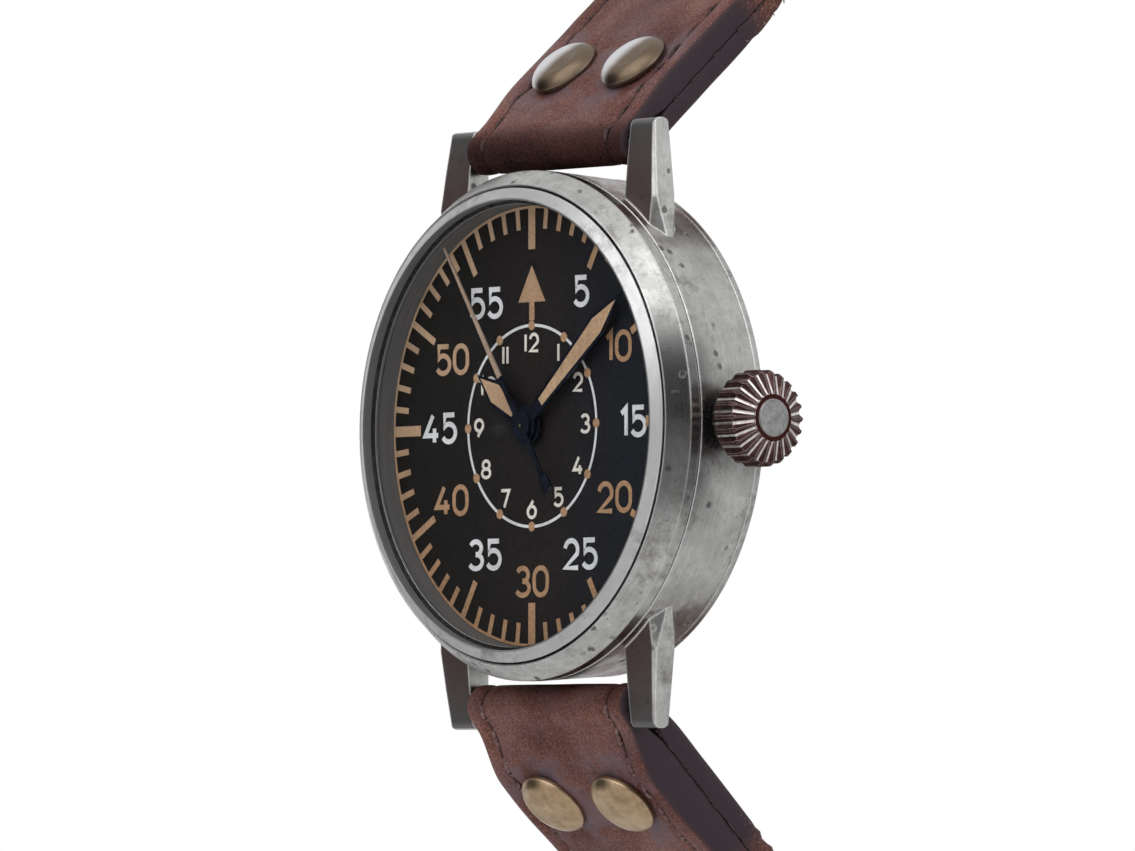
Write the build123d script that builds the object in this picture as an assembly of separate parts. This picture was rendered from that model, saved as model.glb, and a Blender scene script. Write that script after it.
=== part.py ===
from build123d import *
import math
import os

# A hand-wound pilot watch on a riveted leather strap.
#
# The watch is modelled lying on its back: X points to 3 o'clock, Y to 12 o'clock and
# Z from the case back to the eye, with zero on the flat outer face of the case back.
# stand_up() turns each piece upright when it is saved, so that 12 o'clock is up (+Z),
# the dial faces -Y and the case back faces +Y. All sizes are in millimetres.

# One overrun for every cut, and the usual gaps between pieces that fit together
overrun = 0.5
snug = 0.02
running = 0.03
loose = 0.05

# Case middle
case_radius = 21.0
case_taper = 0.4
case_foot_radius = case_radius - case_taper
middle_height = 6.35
case_wall = 2.0
bore_radius = case_radius - case_wall
thread_step = 0.7
thread_radius = bore_radius - thread_step
thread_height = 1.4
neck_step = 1.1
neck_radius = case_radius - neck_step
neck_height = 1.05
stem_rise = 3.05

# Lugs
lug_gap = 20.4
lug_overhang = 3.9
lug_span = 2 * (case_radius + lug_overhang)
lug_root_inset = 7.0
lug_root_reach = case_radius - lug_root_inset
lug_root_outer = 14.55
lug_tip_outer = 13.1
lug_root_depth = 3.1
lug_tip_depth = 1.55
lug_root_floor = 2.6
lug_tip_floor = 3.15
lug_root_bevel = 1.2
lug_tip_bevel = 0.2
lug_root_facet = 0.1
lug_tip_round = 0.7
# Four stations along a lug: how far along it, how much of the depth change, the floor
# change, the bevel change and the facet's opening has happened there
lug_station_shares = (
    (0.0, 0.0, 0.0, 0.0, 0.0),
    (0.4, 0.48, 0.8, 0.85, 0.93),
    (0.69, 0.71, 0.9, 0.93, 0.97),
    (1.0, 1.0, 1.0, 1.0, 1.0),
)

# Case back and its gasket
back_thickness = 1.6
back_rim_height = 0.6
back_slope_width = 2.2
back_face_radius = case_foot_radius - back_slope_width
back_floor_thickness = 1.1
back_plug_wall = 0.9
back_plug_height = 1.2
back_notch_count = 6
back_notch_width = 2.6
back_notch_length = 2.4
back_notch_depth = 0.7
back_gasket_width = 0.7
back_gasket_height = 0.45

# Bezel, crystal ring, crystal and flange ring
bezel_width = 1.4
bezel_mouth_radius = case_radius - bezel_width
bezel_wall_height = 1.1
bezel_slope_height = 1.75
bezel_edge = 0.15
crystal_ring_gap = 0.1
crystal_ring_radius = bezel_mouth_radius - crystal_ring_gap
crystal_ring_width = 1.0
crystal_ring_mouth = crystal_ring_radius - crystal_ring_width
crystal_ring_slope = 0.57
crystal_ring_proud = 0.1
crystal_ledge_width = 0.3
crystal_ledge_radius = crystal_ring_mouth - crystal_ledge_width
crystal_ledge_height = 0.3
crystal_gasket_height = 0.25
crystal_edge_height = 0.75
crystal_dome_height = 0.6
flange_bore_gap = 0.1
flange_width = 0.7
flange_radius = bore_radius - flange_bore_gap
flange_mouth_radius = flange_radius - flange_width
flange_height = 1.6

# Dial
dial_edge_gap = 0.1
dial_radius = flange_radius - dial_edge_gap
dial_thickness = 0.45
dial_hole_radius = 1.3
dial_foot_radius = 0.35
dial_foot_length = 1.0
dial_foot_place = 14.5
dial_foot_angles = (35.0, 215.0)

# Hands: the angles are clockwise from 12 o'clock and show about nine minutes past ten
hour_angle = -55.5
minute_angle = 50.0
second_angle = -33.5
hand_thickness = 0.14
hour_hand_length = 7.7
hour_hand_width = 2.3
hour_hand_neck = 1.15
hour_hand_belly = 4.9
hour_hand_hub = 1.7
hour_lume_start = 2.0
minute_hand_gap = 1.6
minute_hand_length = flange_mouth_radius - minute_hand_gap
minute_hand_width = 2.15
minute_hand_neck = 1.0
minute_hand_point = 4.3
minute_hand_belly = minute_hand_length - minute_hand_point
minute_hand_hub = 1.4
minute_lume_start = 2.9
hand_border = 0.3
second_hand_gap = 0.2
second_hand_length = flange_mouth_radius - second_hand_gap
second_hand_width = 0.5
second_hand_tip = 0.2
second_hand_hub = 1.1
second_lume_start = 4.85
second_tail_length = 6.5
second_weight_width = 1.1
second_weight_length = 1.4
hour_hand_lift = 0.5
hand_step = 0.34

# Crown, its gasket and its tube
crown_stand_off = 0.7
crown_cone_length = 1.2
crown_skirt_length = 0.4
crown_belt_length = 1.6
crown_dome_length = 0.6
crown_slope_length = 0.5
crown_start = case_radius + crown_stand_off
crown_cone_end = crown_start + crown_cone_length
crown_belt_start = crown_cone_end + crown_skirt_length
crown_belt_end = crown_belt_start + crown_belt_length
crown_dome_end = crown_belt_end + crown_dome_length
crown_face = crown_dome_end + crown_slope_length
crown_radius = 3.93
crown_skirt_radius = 2.8
crown_edge_radius = 3.6
crown_face_radius = 1.95
crown_cap_radius = 1.5
crown_cap_height = 0.15
crown_flutes = 22
crown_flute_depth = 0.38
crown_flute_radius = 0.44
crown_flute_end_radius = 0.2
crown_bore_radius = 1.75
crown_bore_length = 2.4
crown_bore_end = crown_start + crown_bore_length
crown_pull = 0.9
tube_inset = 2.3
tube_reach = 1.6
tube_start = case_radius - tube_inset
tube_end = case_radius + tube_reach
tube_radius = 1.25
tube_bore_radius = 0.8
crown_gasket_length = 0.6
crown_gasket_gap = 0.15
crown_gasket_start = tube_end + crown_gasket_gap

# Spring bars
bar_inset = 1.9
bar_place = lug_span / 2 - bar_inset
bar_rise = 4.0
bar_radius = 0.75
bar_tip_radius = 0.42
bar_tip_length = 1.2
bar_shoulder = 0.3

# Strap, both halves
strap_width = 20.0
strap_end_width = 18.0
strap_fold_radius = 1.8
strap_swell_reach = 6.0
strap_turn_end = 22.3
strap_straight = 27.0
strap_curve_radius = 42.0
strap_body_thickness = 2.2
lining_thickness = 1.3
lining_gap = 0.3
strap_12_length = 75.0
strap_12_lean = 48.5
strap_12_curve = 24.0
strap_12_front = 2.2
strap_12_rear = 1.8
strap_6_length = 118.0
strap_6_lean = 45.5
strap_6_curve = 64.0
strap_6_front = 3.3
strap_6_rear = 2.2
strap_hole_count = 7
strap_hole_pitch = 6.5
strap_hole_radius = 1.0
strap_hole_length = 2.8
strap_hole_first = 25.0
strap_point_length = 9.0
# The pointed tail: how far across the half width, and how far back from the end
strap_point_shares = ((1.1, 1.0), (0.72, 0.42), (0.2, 0.0))

# Rivets
rivet_reach = 7.9
rivet_spacing = 8.9
rivet_head_radius = 3.05
rivet_head_height = 0.95
rivet_rim_height = 0.35
rivet_shank_radius = 1.0
rivet_foot_radius = 2.4
rivet_foot_height = 0.4

# Buckle and keepers
buckle_fold_radius = 1.7
buckle_bar_radius = 0.75
buckle_side_gap = 0.4
buckle_side_width = 2.3
buckle_window_width = strap_end_width + 2 * buckle_side_gap
buckle_width = buckle_window_width + 2 * buckle_side_width
buckle_length = 13.0
buckle_thickness = 2.2
buckle_far_bar = 2.2
buckle_ear = 1.5
buckle_corner_share = 0.95
buckle_edge_share = 0.4
tongue_width = 2.0
tongue_ring_radius = 1.5
tongue_thickness = 1.0
tongue_overhang = 0.4
tongue_point_share = 0.8
tongue_heel_share = 0.4
tongue_slot_width = 2.6
tongue_slot_length = 4.4
keeper_length = 5.0
keeper_wall = 1.2
keeper_height = 7.2
keeper_side_gap = 0.25
fixed_keeper_back = 9.5
loose_keeper_back = 18.5

# Movement ring, mainplate and bridges
movement_lip_share = 0.66
plate_radius = 15.0
movement_ring_radius = bore_radius - loose
movement_lip_radius = plate_radius + movement_lip_share * (movement_ring_radius - plate_radius)
plate_thickness = 4.65
dial_recess_radius = 14.2
dial_recess_depth = 0.85
pocket_depth = 2.2
barrel_pocket_depth = 3.2
keyless_pocket_depth = 3.4
keyless_slot_width = 4.2
keyless_slot_start = 7.2
keyless_slot_end = 12.0
train_pocket_radius = 4.95
third_pocket_radius = 4.5
escape_pocket_radius = 2.3
balance_pocket_radius = 4.75
barrel_pocket_radius = 6.1
bridge_thickness = 1.0
bridge_radius = 14.6
bridge_gap = 0.3
bridge_margin = 0.5
cock_width = 3.2
cock_foot_x = -1.8
cock_foot_y = -12.9
cock_view_radius = 3.7
screw_head_radius = 0.8
screw_head_height = 0.35
screw_radius = 0.4
screw_length = 1.6
screw_slot = 0.2
screw_place = 13.3
screw_angles = (22.0, 114.0, 172.0)
clamp_length = 2.7
clamp_width = 2.4
clamp_thickness = 0.35
clamp_inset = 0.3
clamp_angles = (48.0, 200.0, 318.0)
jewel_radius = 0.5
jewel_thickness = 0.3
jewel_bore_radius = 0.16
pivot_radius = 0.13
arbor_radius = 0.26

# Wheel levels and trains. The module of a pair is its centre distance over half its teeth
wheel_thickness = 0.15
wheel_clearance = 0.1
wheel_step = 0.42
pinion_overhang = 0.05
wheel_rim = 0.45
wheel_hub_radius = 0.78
wheel_arm = 0.4
barrel_distance = 6.6
barrel_angle = 69.3
barrel_teeth = 56
barrel_height = 1.7
barrel_tooth_height = 0.35
barrel_wall = 0.3
barrel_lift = 0.3
barrel_arbor_radius = 1.1
barrel_pivot_radius = 0.6
barrel_drum_radius = 5.2
centre_pinion_teeth = 8
centre_teeth = 48
third_distance = 4.59
third_angle = 150.0
third_pinion_teeth = 6
third_teeth = 45
fourth_pinion_teeth = 6
fourth_teeth = 60
escape_distance = 4.62
escape_angle = 250.0
escape_pinion_teeth = 6
escape_teeth = 15
escape_radius = 1.9
escape_lift = 0.19
escape_hub_radius = 0.42
escape_rim_share = 0.58
# A club tooth's corners: share of the wheel's radius, share of the pitch from its start
escape_tooth_shares = ((0.72, 0.0), (1.0, 0.29), (0.97, 0.46), (0.74, 0.375))
centre_tube_radius = 0.45
centre_tube_bore = 0.18
balance_x = -5.1
balance_y = -7.29
balance_radius = 4.35
balance_rim = 0.5
balance_height = 0.35
balance_lift = 0.25
roller_radius = 0.55
roller_height = 0.12
impulse_pin_radius = 0.08
impulse_pin_place = 0.42
impulse_pin_height = 0.2
pallet_share = 0.523
pallet_arm = 1.2
pallet_arm_angle = 51.5
pallet_arm_width = 0.28
pallet_stone_length = 0.5
pallet_stone_width = 0.22
pallet_tail_gap = 0.75
pallet_hub_radius = 0.39
pallet_stone_lean_share = 0.15
fork_thickness = 0.2
pallet_bridge_span = 4.4
pallet_bridge_width = 1.4
pallet_bridge_height = 0.2
spring_steps = 18
hairspring_turns = 4
hairspring_start = 0.5
hairspring_pitch = 0.42
hairspring_width = 0.08
hairspring_height = 0.1
mainspring_turns = 4
mainspring_start = 1.7
mainspring_pitch = 0.72
mainspring_width = 0.2

# Motion works under the dial
motion_distance = 4.0
motion_angle = 120.0
cannon_teeth = 10
minute_wheel_teeth = 30
minute_pinion_teeth = 8
hour_wheel_teeth = 32
cannon_bore = 0.47
cannon_radius = 0.75
hour_pipe_bore = 0.8
hour_pipe_radius = 1.08
motion_lift = 0.05
motion_stud_radius = 0.35

# Winding works
winding_tip_radius = 2.0
winding_root_radius = 1.62
winding_hub_radius = 1.5
winding_teeth = 14
winding_start = 10.4
winding_tooth_start = 11.05
winding_end = 11.8
sliding_start = 8.4
sliding_end = 10.1
sliding_radius = 1.3
sliding_root_radius = 1.02
sliding_teeth = 12
sliding_tooth_length = 0.5
sliding_groove_radius = 0.9
sliding_travel = 0.5
stem_radius = 0.6
stem_square = 0.8
stem_square_start = 7.3
stem_square_end = 10.9
stem_pilot_radius = 0.3
stem_pilot_start = 5.9
stem_groove_start = 12.15
stem_groove_end = 12.65
stem_groove_radius = 0.35
stem_thread_radius = 0.5
stem_thread_length = 1.1
stem_end = crown_bore_end + stem_thread_length
crown_wheel_place = 8.1
crown_wheel_teeth = 24
crown_wheel_tip = 3.5
crown_wheel_root = 2.95
crown_wheel_height = 0.85
crown_wheel_bore = 1.0
ratchet_teeth = 40
ratchet_tip = 5.46
ratchet_root = 4.9
ratchet_height = 0.3
ratchet_square = 1.2
winding_wheel_gap = 0.05
click_distance = 6.7
click_angle = 160.0
click_radius = 0.5
click_length = 1.9
click_lean = 42.0
click_width = 0.5
lever_reach = 2.97
lever_pin_place = 0.55
lever_pin_radius = 0.14
lever_boss_radius = 0.65
lever_arm_width = 0.6
lever_thickness = 0.2
yoke_reach = 3.45
yoke_boss_radius = 0.6
yoke_arm_width = 0.5
yoke_pin_radius = 0.16
yoke_pin_place = 1.15

# Teeth: the width of a tooth at its tip and root as shares of the pitch, and how far
# it stands above and below the pitch circle as shares of the module
wheel_tip_share = 0.3
wheel_root_share = 1.0
pinion_tip_share = 0.18
pinion_root_share = 0.5
wheel_addendum_share = 0.8
wheel_dedendum_share = 1.3
pinion_addendum_share = 0.7
pinion_dedendum_share = 1.0

# Heights worked out from the sizes above, from the case back's outer face forward
seam = back_thickness
middle_top = seam + middle_height
neck_top = middle_top + neck_height
thread_top = seam + thread_height
stem_height = seam + stem_rise
bar_height = seam + bar_rise
dial_back = middle_top
dial_front = dial_back + dial_thickness
flange_top = dial_front + flange_height
ledge_low = flange_top + loose
ledge_top = ledge_low + crystal_ledge_height
crystal_low = ledge_top + crystal_gasket_height
crystal_edge_top = crystal_low + crystal_edge_height
ring_top = crystal_edge_top + crystal_ring_proud
bezel_shoulder = middle_top + bezel_wall_height
bezel_top = bezel_shoulder + bezel_slope_height
plate_front = dial_back
plate_back = plate_front - plate_thickness
plate_floor = plate_front - dial_recess_depth
pocket_floor = plate_back + pocket_depth
barrel_pocket_floor = plate_back + barrel_pocket_depth
keyless_floor = plate_back + keyless_pocket_depth
bridge_back = plate_back - bridge_thickness
fourth_level = plate_back + wheel_clearance
third_level = fourth_level + wheel_step
centre_level = third_level + wheel_step
barrel_level = centre_level + wheel_thickness + barrel_lift
barrel_top = barrel_level + barrel_height
escape_level = centre_level + wheel_thickness + escape_lift
balance_level = plate_back + balance_lift
motion_level = plate_floor + motion_lift
hour_wheel_level = motion_level + wheel_step
hour_hand_level = dial_front + hour_hand_lift
minute_hand_level = hour_hand_level + hand_step
second_hand_level = minute_hand_level + hand_step
ratchet_level = bridge_back - winding_wheel_gap - ratchet_height
lug_half_gap = lug_gap / 2
lug_reach = lug_span / 2

# How each strap half bends: the length of its arc, and how far it leans back at first
strap_12_bend = (strap_12_curve, strap_12_lean)
strap_6_bend = (strap_6_curve, strap_6_lean)


def polar(distance, angle):
    """A point at a distance and an angle, counted anticlockwise from 3 o'clock."""
    return (
        distance * math.cos(math.radians(angle)),
        distance * math.sin(math.radians(angle)),
    )


barrel_x, barrel_y = polar(barrel_distance, barrel_angle)
third_x, third_y = polar(third_distance, third_angle)
escape_x, escape_y = polar(escape_distance, escape_angle)
motion_x, motion_y = polar(motion_distance, motion_angle)
yoke_x = (sliding_start + sliding_end) / 2 - sliding_travel / 2
yoke_y = -yoke_pin_place - yoke_reach
pallet_x = escape_x + pallet_share * (balance_x - escape_x)
pallet_y = escape_y + pallet_share * (balance_y - escape_y)
line_angle = math.degrees(math.atan2(balance_y - escape_y, balance_x - escape_x))
line_length = math.hypot(balance_x - escape_x, balance_y - escape_y)


# Small shapes that many pieces share


def flat(*points):
    """A closed outline of straight stretches, with its corners put anticlockwise."""
    pairs = zip(points, points[1:] + points[:1])
    doubled_area = sum(a[0] * b[1] - b[0] * a[1] for a, b in pairs)
    ordered = points if doubled_area > 0 else points[::-1]
    return Polygon(*ordered, align=None)


def rod(radius, low, high, x=0.0, y=0.0):
    """A round bar along Z."""
    return Pos(x, y, low) * extrude(Circle(radius), high - low)


def ring(outer, inner, low, high, x=0.0, y=0.0):
    """A tube along Z."""
    return Pos(x, y, low) * extrude(Circle(outer) - Circle(inner), high - low)


def plate(outline, low, high):
    """A flat sheet between two heights."""
    return Pos(0, 0, low) * extrude(outline, high - low)


def turned(*points):
    """A closed outline of (radius, height) points turned round the watch's axis."""
    return revolve(Plane.XZ * flat(*points), Axis.Z)


def turned_along_x(*points):
    """A closed outline of (x, radius) points turned round the X axis."""
    return revolve(Plane.XZ * flat(*points), Axis.X)


def turned_on_stem(*points):
    """A closed outline of (x, radius) points turned round the winding stem's axis."""
    return Pos(0, 0, stem_height) * turned_along_x(*points)


def dome(radius, low, rise):
    """The arc of a shallow round dome, from its edge up to the axis."""
    sphere = (radius**2 + rise**2) / (2 * rise)
    half = radius / 2
    sag = sphere - math.sqrt(sphere**2 - half**2)
    return ThreePointArc((radius, low), (half, low + rise - sag), (0, low + rise))


def button(radius, low, rise):
    """A quarter ellipse in two arcs: the rounded shoulder, then a dome up to the axis."""

    def at(angle):
        across, up = polar(1, angle)
        return (radius * across, low + rise * up)

    dome_radius, dome_low = at(60)
    shoulder = ThreePointArc(at(0), at(30), at(60))
    return shoulder + dome(dome_radius, dome_low, low + rise - dome_low)


def on_stem(outline, start, end):
    """An outline drawn square to the stem, drawn out along it."""
    face = Plane.YZ * outline
    return Pos(start, 0, stem_height) * extrude(face, end - start)


def toothed(teeth, tip, root, tip_share, root_share, turn=0.0):
    """The outline of a toothed wheel; a tooth lies on the X axis when turn is zero."""
    corners = [(root, -root_share / 2), (tip, -tip_share / 2), (tip, tip_share / 2)]
    if root_share < 1:
        corners.append((root, root_share / 2))
    points = []
    for tooth in range(teeth):
        for radius, offset in corners:
            points.append(polar(radius, turn + 360 / teeth * (tooth + offset)))
    return flat(*points)


def wheel_outline(teeth, module, turn=0.0):
    """A driving wheel's outline, with sharp gaps between flat-topped teeth."""
    pitch_radius = teeth * module / 2
    tip = pitch_radius + wheel_addendum_share * module
    root = pitch_radius - wheel_dedendum_share * module
    return toothed(teeth, tip, root, wheel_tip_share, wheel_root_share, turn)


def pinion_outline(teeth, module, turn=0.0):
    """A pinion's outline, with narrow leaves and open gaps."""
    pitch_radius = teeth * module / 2
    tip = pitch_radius + pinion_addendum_share * module
    root = pitch_radius - pinion_dedendum_share * module
    return toothed(teeth, tip, root, pinion_tip_share, pinion_root_share, turn)


def spoked(outline, rim_radius, hub_radius, arm_width, arms):
    """Cut the windows between a wheel's rim, hub and arms."""
    window = Circle(rim_radius) - Circle(hub_radius)
    for arm in range(arms):
        beam = Pos(rim_radius / 2, 0) * Rectangle(rim_radius, arm_width)
        window -= Rot(0, 0, 360 / arms * arm) * beam
    return outline - window


def mesh_turn(teeth, angle, other_teeth, other_turn):
    """The turn that puts a gap of one wheel on a tooth of the other, seen along angle."""
    other_phase = (angle - other_turn) * other_teeth / 360
    return angle + 180 - (0.5 - other_phase) * 360 / teeth


def arbor(x, y, low, high, thick_low, thick_high):
    """An arbor: a thick middle with a thin pivot at each end."""
    body = rod(arbor_radius, thick_low, thick_high, x, y)
    return body + rod(pivot_radius, low, high, x, y)


# The case


def make_lug():
    """The lug beside 3 and 12 o'clock, lofted through four sections.

    Its outer side is a leaf-shaped facet: a point at the case that opens towards
    the tip, because the bevels above and below it run out there.
    """
    sections = []
    for along, depth_part, floor_part, bevel_part, facet_part in lug_station_shares:
        y = lug_root_reach + along * (lug_reach - lug_root_reach)
        outer = lug_root_outer + along * (lug_tip_outer - lug_root_outer)
        depth = lug_root_depth + depth_part * (lug_tip_depth - lug_root_depth)
        floor = lug_root_floor + floor_part * (lug_tip_floor - lug_root_floor)
        bevel = lug_root_bevel + bevel_part * (lug_tip_bevel - lug_root_bevel)
        low = seam + floor
        high = low + depth
        middle = (low + high) / 2
        half_open = (depth / 2 - bevel / 2) * facet_part
        half_facet = lug_root_facet / 2 * (1 - facet_part) + half_open
        corners = flat(
            (lug_half_gap, low),
            (outer - bevel, low),
            (outer, middle - half_facet),
            (outer, middle + half_facet),
            (outer - bevel, high),
            (lug_half_gap, high),
        )
        sections.append(Plane.XZ.offset(-y) * corners)
    lug = loft(sections, ruled=True)
    tip_edges = lug.edges().filter_by(Axis.X).group_by(Axis.Y)[-1]
    return fillet(tip_edges, lug_tip_round)


def make_case_middle():
    """The case ring with its four lugs, bored for the movement, back, stem and bars."""
    body = turned(
        (0, seam),
        (case_foot_radius, seam),
        (case_radius, middle_top),
        (neck_radius, middle_top),
        (neck_radius, neck_top),
        (0, neck_top),
    )
    lug = make_lug()
    body += [lug, mirror(lug, Plane.YZ), mirror(lug, Plane.XZ), Rot(0, 0, 180) * lug]
    body -= rod(bore_radius, thread_top, neck_top + overrun)
    body -= rod(thread_radius, seam - overrun, thread_top)
    body -= ring(
        thread_radius + back_gasket_width + loose,
        thread_radius - overrun,
        seam - overrun,
        seam + back_gasket_height,
    )
    body -= on_stem(Circle(tube_radius), thread_radius - overrun, case_radius + overrun)
    for side in (-1, 1):
        hole = Plane.YZ * Circle(bar_tip_radius + running)
        hole = extrude(hole, lug_half_gap + bar_tip_length + loose, both=True)
        body -= Pos(0, side * bar_place, bar_height) * hole
    return body


def make_case_back():
    """The screwed-in back: a bevelled plate with six key notches and a hollow plug."""
    face_radius = back_face_radius
    rim_low = seam - back_rim_height
    plug_radius = thread_radius - snug
    pocket_radius = plug_radius - back_plug_wall
    back = turned(
        (0, 0),
        (face_radius, 0),
        (case_foot_radius, rim_low),
        (case_foot_radius, seam),
        (plug_radius, seam),
        (plug_radius, seam + back_plug_height),
        (pocket_radius, seam + back_plug_height),
        (pocket_radius, back_floor_thickness),
        (0, back_floor_thickness),
    )
    notch = Box(back_notch_length, back_notch_width, 2 * back_notch_depth)
    for place in range(back_notch_count):
        back -= Rot(0, 0, 360 / back_notch_count * place) * Pos(face_radius) * notch
    return back


def make_case_back_gasket():
    """The flat seal between the back's rim and the case."""
    return ring(
        thread_radius + back_gasket_width,
        thread_radius + snug,
        seam,
        seam + back_gasket_height - snug,
    )


def make_bezel():
    """The bezel: a short upright wall and a steep slope up to its mouth."""
    seat = neck_radius + snug
    return turned(
        (seat, middle_top),
        (case_radius - bezel_edge, middle_top),
        (case_radius, middle_top + bezel_edge),
        (case_radius, bezel_shoulder),
        (bezel_mouth_radius + bezel_edge, bezel_top),
        (bezel_mouth_radius, bezel_top - bezel_edge),
        (bezel_mouth_radius, neck_top + snug),
        (seat, neck_top + snug),
    )


def make_crystal_ring():
    """The polished ring that holds the crystal, with the ledge it rests on."""
    inner = flange_radius + loose
    return turned(
        (inner, neck_top),
        (crystal_ring_radius, neck_top),
        (crystal_ring_radius, ring_top - crystal_ring_slope),
        (crystal_ring_mouth, ring_top),
        (crystal_ring_mouth, ledge_top),
        (crystal_ledge_radius, ledge_top),
        (crystal_ledge_radius, ledge_low),
        (inner, ledge_low),
    )


def make_crystal_gasket():
    """The flat seal under the crystal's edge."""
    outer = crystal_ring_mouth - snug
    return ring(outer, crystal_ledge_radius + snug, ledge_top, crystal_low)


def make_crystal():
    """The crystal: flat below and slightly domed above."""
    radius = crystal_ring_mouth - loose
    outline = Polyline(
        (0, crystal_edge_top + crystal_dome_height),
        (0, crystal_low),
        (radius, crystal_low),
        (radius, crystal_edge_top),
    )
    outline += dome(radius, crystal_edge_top, crystal_dome_height)
    return revolve(Plane.XZ * make_face(outline), Axis.Z)


def make_flange_ring():
    """The dark wall that stands on the dial's edge, under the crystal."""
    return ring(flange_radius, flange_mouth_radius, dial_front, flange_top)


# The dial and hands


def make_dial():
    """The dial plate with its centre hole and two feet."""
    face = Circle(dial_radius) - Circle(dial_hole_radius)
    dial = plate(face, dial_back, dial_front)
    for x, y in dial_feet():
        dial += rod(dial_foot_radius, dial_back - dial_foot_length, dial_back, x, y)
    return dial


def dial_feet():
    """Where the dial's feet stand."""
    return [polar(dial_foot_place, angle) for angle in dial_foot_angles]


def kite(neck, belly_place, width, length, start):
    """A sword-shaped hand's outline, from its neck through its belly to its tip."""
    return flat(
        (-neck / 2, start),
        (-width / 2, belly_place),
        (0, length),
        (width / 2, belly_place),
        (neck / 2, start),
    )


def kite_window(neck, belly_place, width, length, start):
    """The window for the luminous filling, one border inside the outline."""
    tip_inset = hand_border * length / width
    return kite(
        neck - hand_border,
        belly_place,
        width - 2 * hand_border,
        length - tip_inset / 2,
        start,
    )


def pointing(outline, angle, level):
    """A hand's outline turned to its clockwise angle and made a thin sheet."""
    return plate(Rot(0, 0, -angle) * outline, level, level + hand_thickness)


def hour_window():
    return kite_window(
        hour_hand_neck,
        hour_hand_belly,
        hour_hand_width,
        hour_hand_length,
        hour_lume_start,
    )


def minute_window():
    return kite_window(
        minute_hand_neck,
        minute_hand_belly,
        minute_hand_width,
        minute_hand_length,
        minute_lume_start,
    )


def second_blade():
    """The seconds hand's tapered blade beyond its black root."""
    start_width = second_hand_width
    return flat(
        (-start_width / 2, second_lume_start),
        (-second_hand_tip / 2, second_hand_length),
        (second_hand_tip / 2, second_hand_length),
        (start_width / 2, second_lume_start),
    )


def make_hour_hand():
    """The hour hand on the hour wheel's pipe."""
    shape = kite(hour_hand_neck, hour_hand_belly, hour_hand_width, hour_hand_length, 0)
    shape += Circle(hour_hand_hub)
    shape -= Circle(hour_pipe_radius)
    return pointing(shape - hour_window(), hour_angle, hour_hand_level)


def make_hour_lume():
    """The luminous filling of the hour hand."""
    return pointing(hour_window(), hour_angle, hour_hand_level)


def make_minute_hand():
    """The minute hand on the cannon pinion."""
    shape = kite(
        minute_hand_neck,
        minute_hand_belly,
        minute_hand_width,
        minute_hand_length,
        0,
    )
    shape += Circle(minute_hand_hub)
    shape -= Circle(cannon_radius)
    return pointing(shape - minute_window(), minute_angle, minute_hand_level)


def make_minute_lume():
    """The luminous filling of the minute hand."""
    return pointing(minute_window(), minute_angle, minute_hand_level)


def make_second_hand():
    """The seconds hand: hub, black root and counterweighted tail."""
    root = Pos(0, second_lume_start / 2) * Rectangle(second_hand_width, second_lume_start)
    tail = Pos(0, -second_tail_length / 2)
    tail *= Rectangle(second_hand_width, second_tail_length)
    weight_place = second_weight_length / 2 - second_tail_length
    weight = Pos(0, weight_place) * Rectangle(second_weight_width, second_weight_length)
    shape = Circle(second_hand_hub) + root + tail + weight
    hand = pointing(shape, second_angle, second_hand_level)
    return hand - rod(pivot_radius, second_hand_level - overrun, second_hand_level + overrun)


def make_second_lume():
    """The luminous blade of the seconds hand."""
    return pointing(second_blade(), second_angle, second_hand_level)


# The crown and stem


def front_flutes():
    """The tapered cutters that carry the crown's flutes over its front slope."""
    fall = crown_edge_radius - crown_face_radius
    run = math.hypot(crown_slope_length, fall)
    inward = Vector(crown_slope_length, -fall, 0) / run
    outward = Vector(fall, crown_slope_length, 0) / run
    lift = crown_flute_radius - crown_flute_depth
    lead = crown_flute_radius
    start = Vector(crown_dome_end, crown_edge_radius, 0) + outward * lift - inward * lead
    taper = (crown_flute_radius - crown_flute_end_radius) / run
    wide = crown_flute_radius + taper * lead
    length = lead + run
    cutter = Cone(wide, crown_flute_end_radius, length, align=(Align.CENTER, Align.CENTER, Align.MIN))
    cutter = Plane(origin=start, z_dir=inward) * cutter
    around = [Rot(360 / crown_flutes * flute, 0, 0) * cutter for flute in range(crown_flutes)]
    return [Pos(0, 0, stem_height) * each for each in around]


def make_crown():
    """The crown: a rounded body with 22 scooped flutes and a raised cap."""
    body = turned_on_stem(
        (crown_start, 0),
        (crown_start, crown_skirt_radius),
        (crown_cone_end, crown_edge_radius),
        (crown_belt_start, crown_radius),
        (crown_belt_end, crown_radius),
        (crown_dome_end, crown_edge_radius),
        (crown_face, crown_face_radius),
        (crown_face, 0),
    )
    middle = crown_radius - crown_flute_depth + crown_flute_radius
    flutes = Sketch()
    for flute in range(crown_flutes):
        place = polar(middle, 360 / crown_flutes * flute)
        flutes += Pos(*place) * Circle(crown_flute_radius)
    body -= on_stem(flutes, crown_start - overrun, crown_face + overrun)
    body -= front_flutes()
    cap_end = crown_face + crown_cap_height
    body += on_stem(Circle(crown_cap_radius), crown_face - overrun, cap_end)
    body -= on_stem(Circle(crown_bore_radius), crown_start - overrun, crown_bore_end)
    body -= on_stem(Circle(stem_thread_radius), crown_bore_end - overrun, stem_end)
    return body


def make_crown_gasket():
    """The seal inside the crown that slides on the tube's neck."""
    outline = Circle(crown_bore_radius) - Circle(stem_radius + running)
    return on_stem(outline, crown_gasket_start, crown_gasket_start + crown_gasket_length)


def make_crown_tube():
    """The tube pressed into the case, through which the stem runs."""
    outline = Circle(tube_radius) - Circle(tube_bore_radius)
    return on_stem(outline, tube_start, tube_end)


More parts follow.
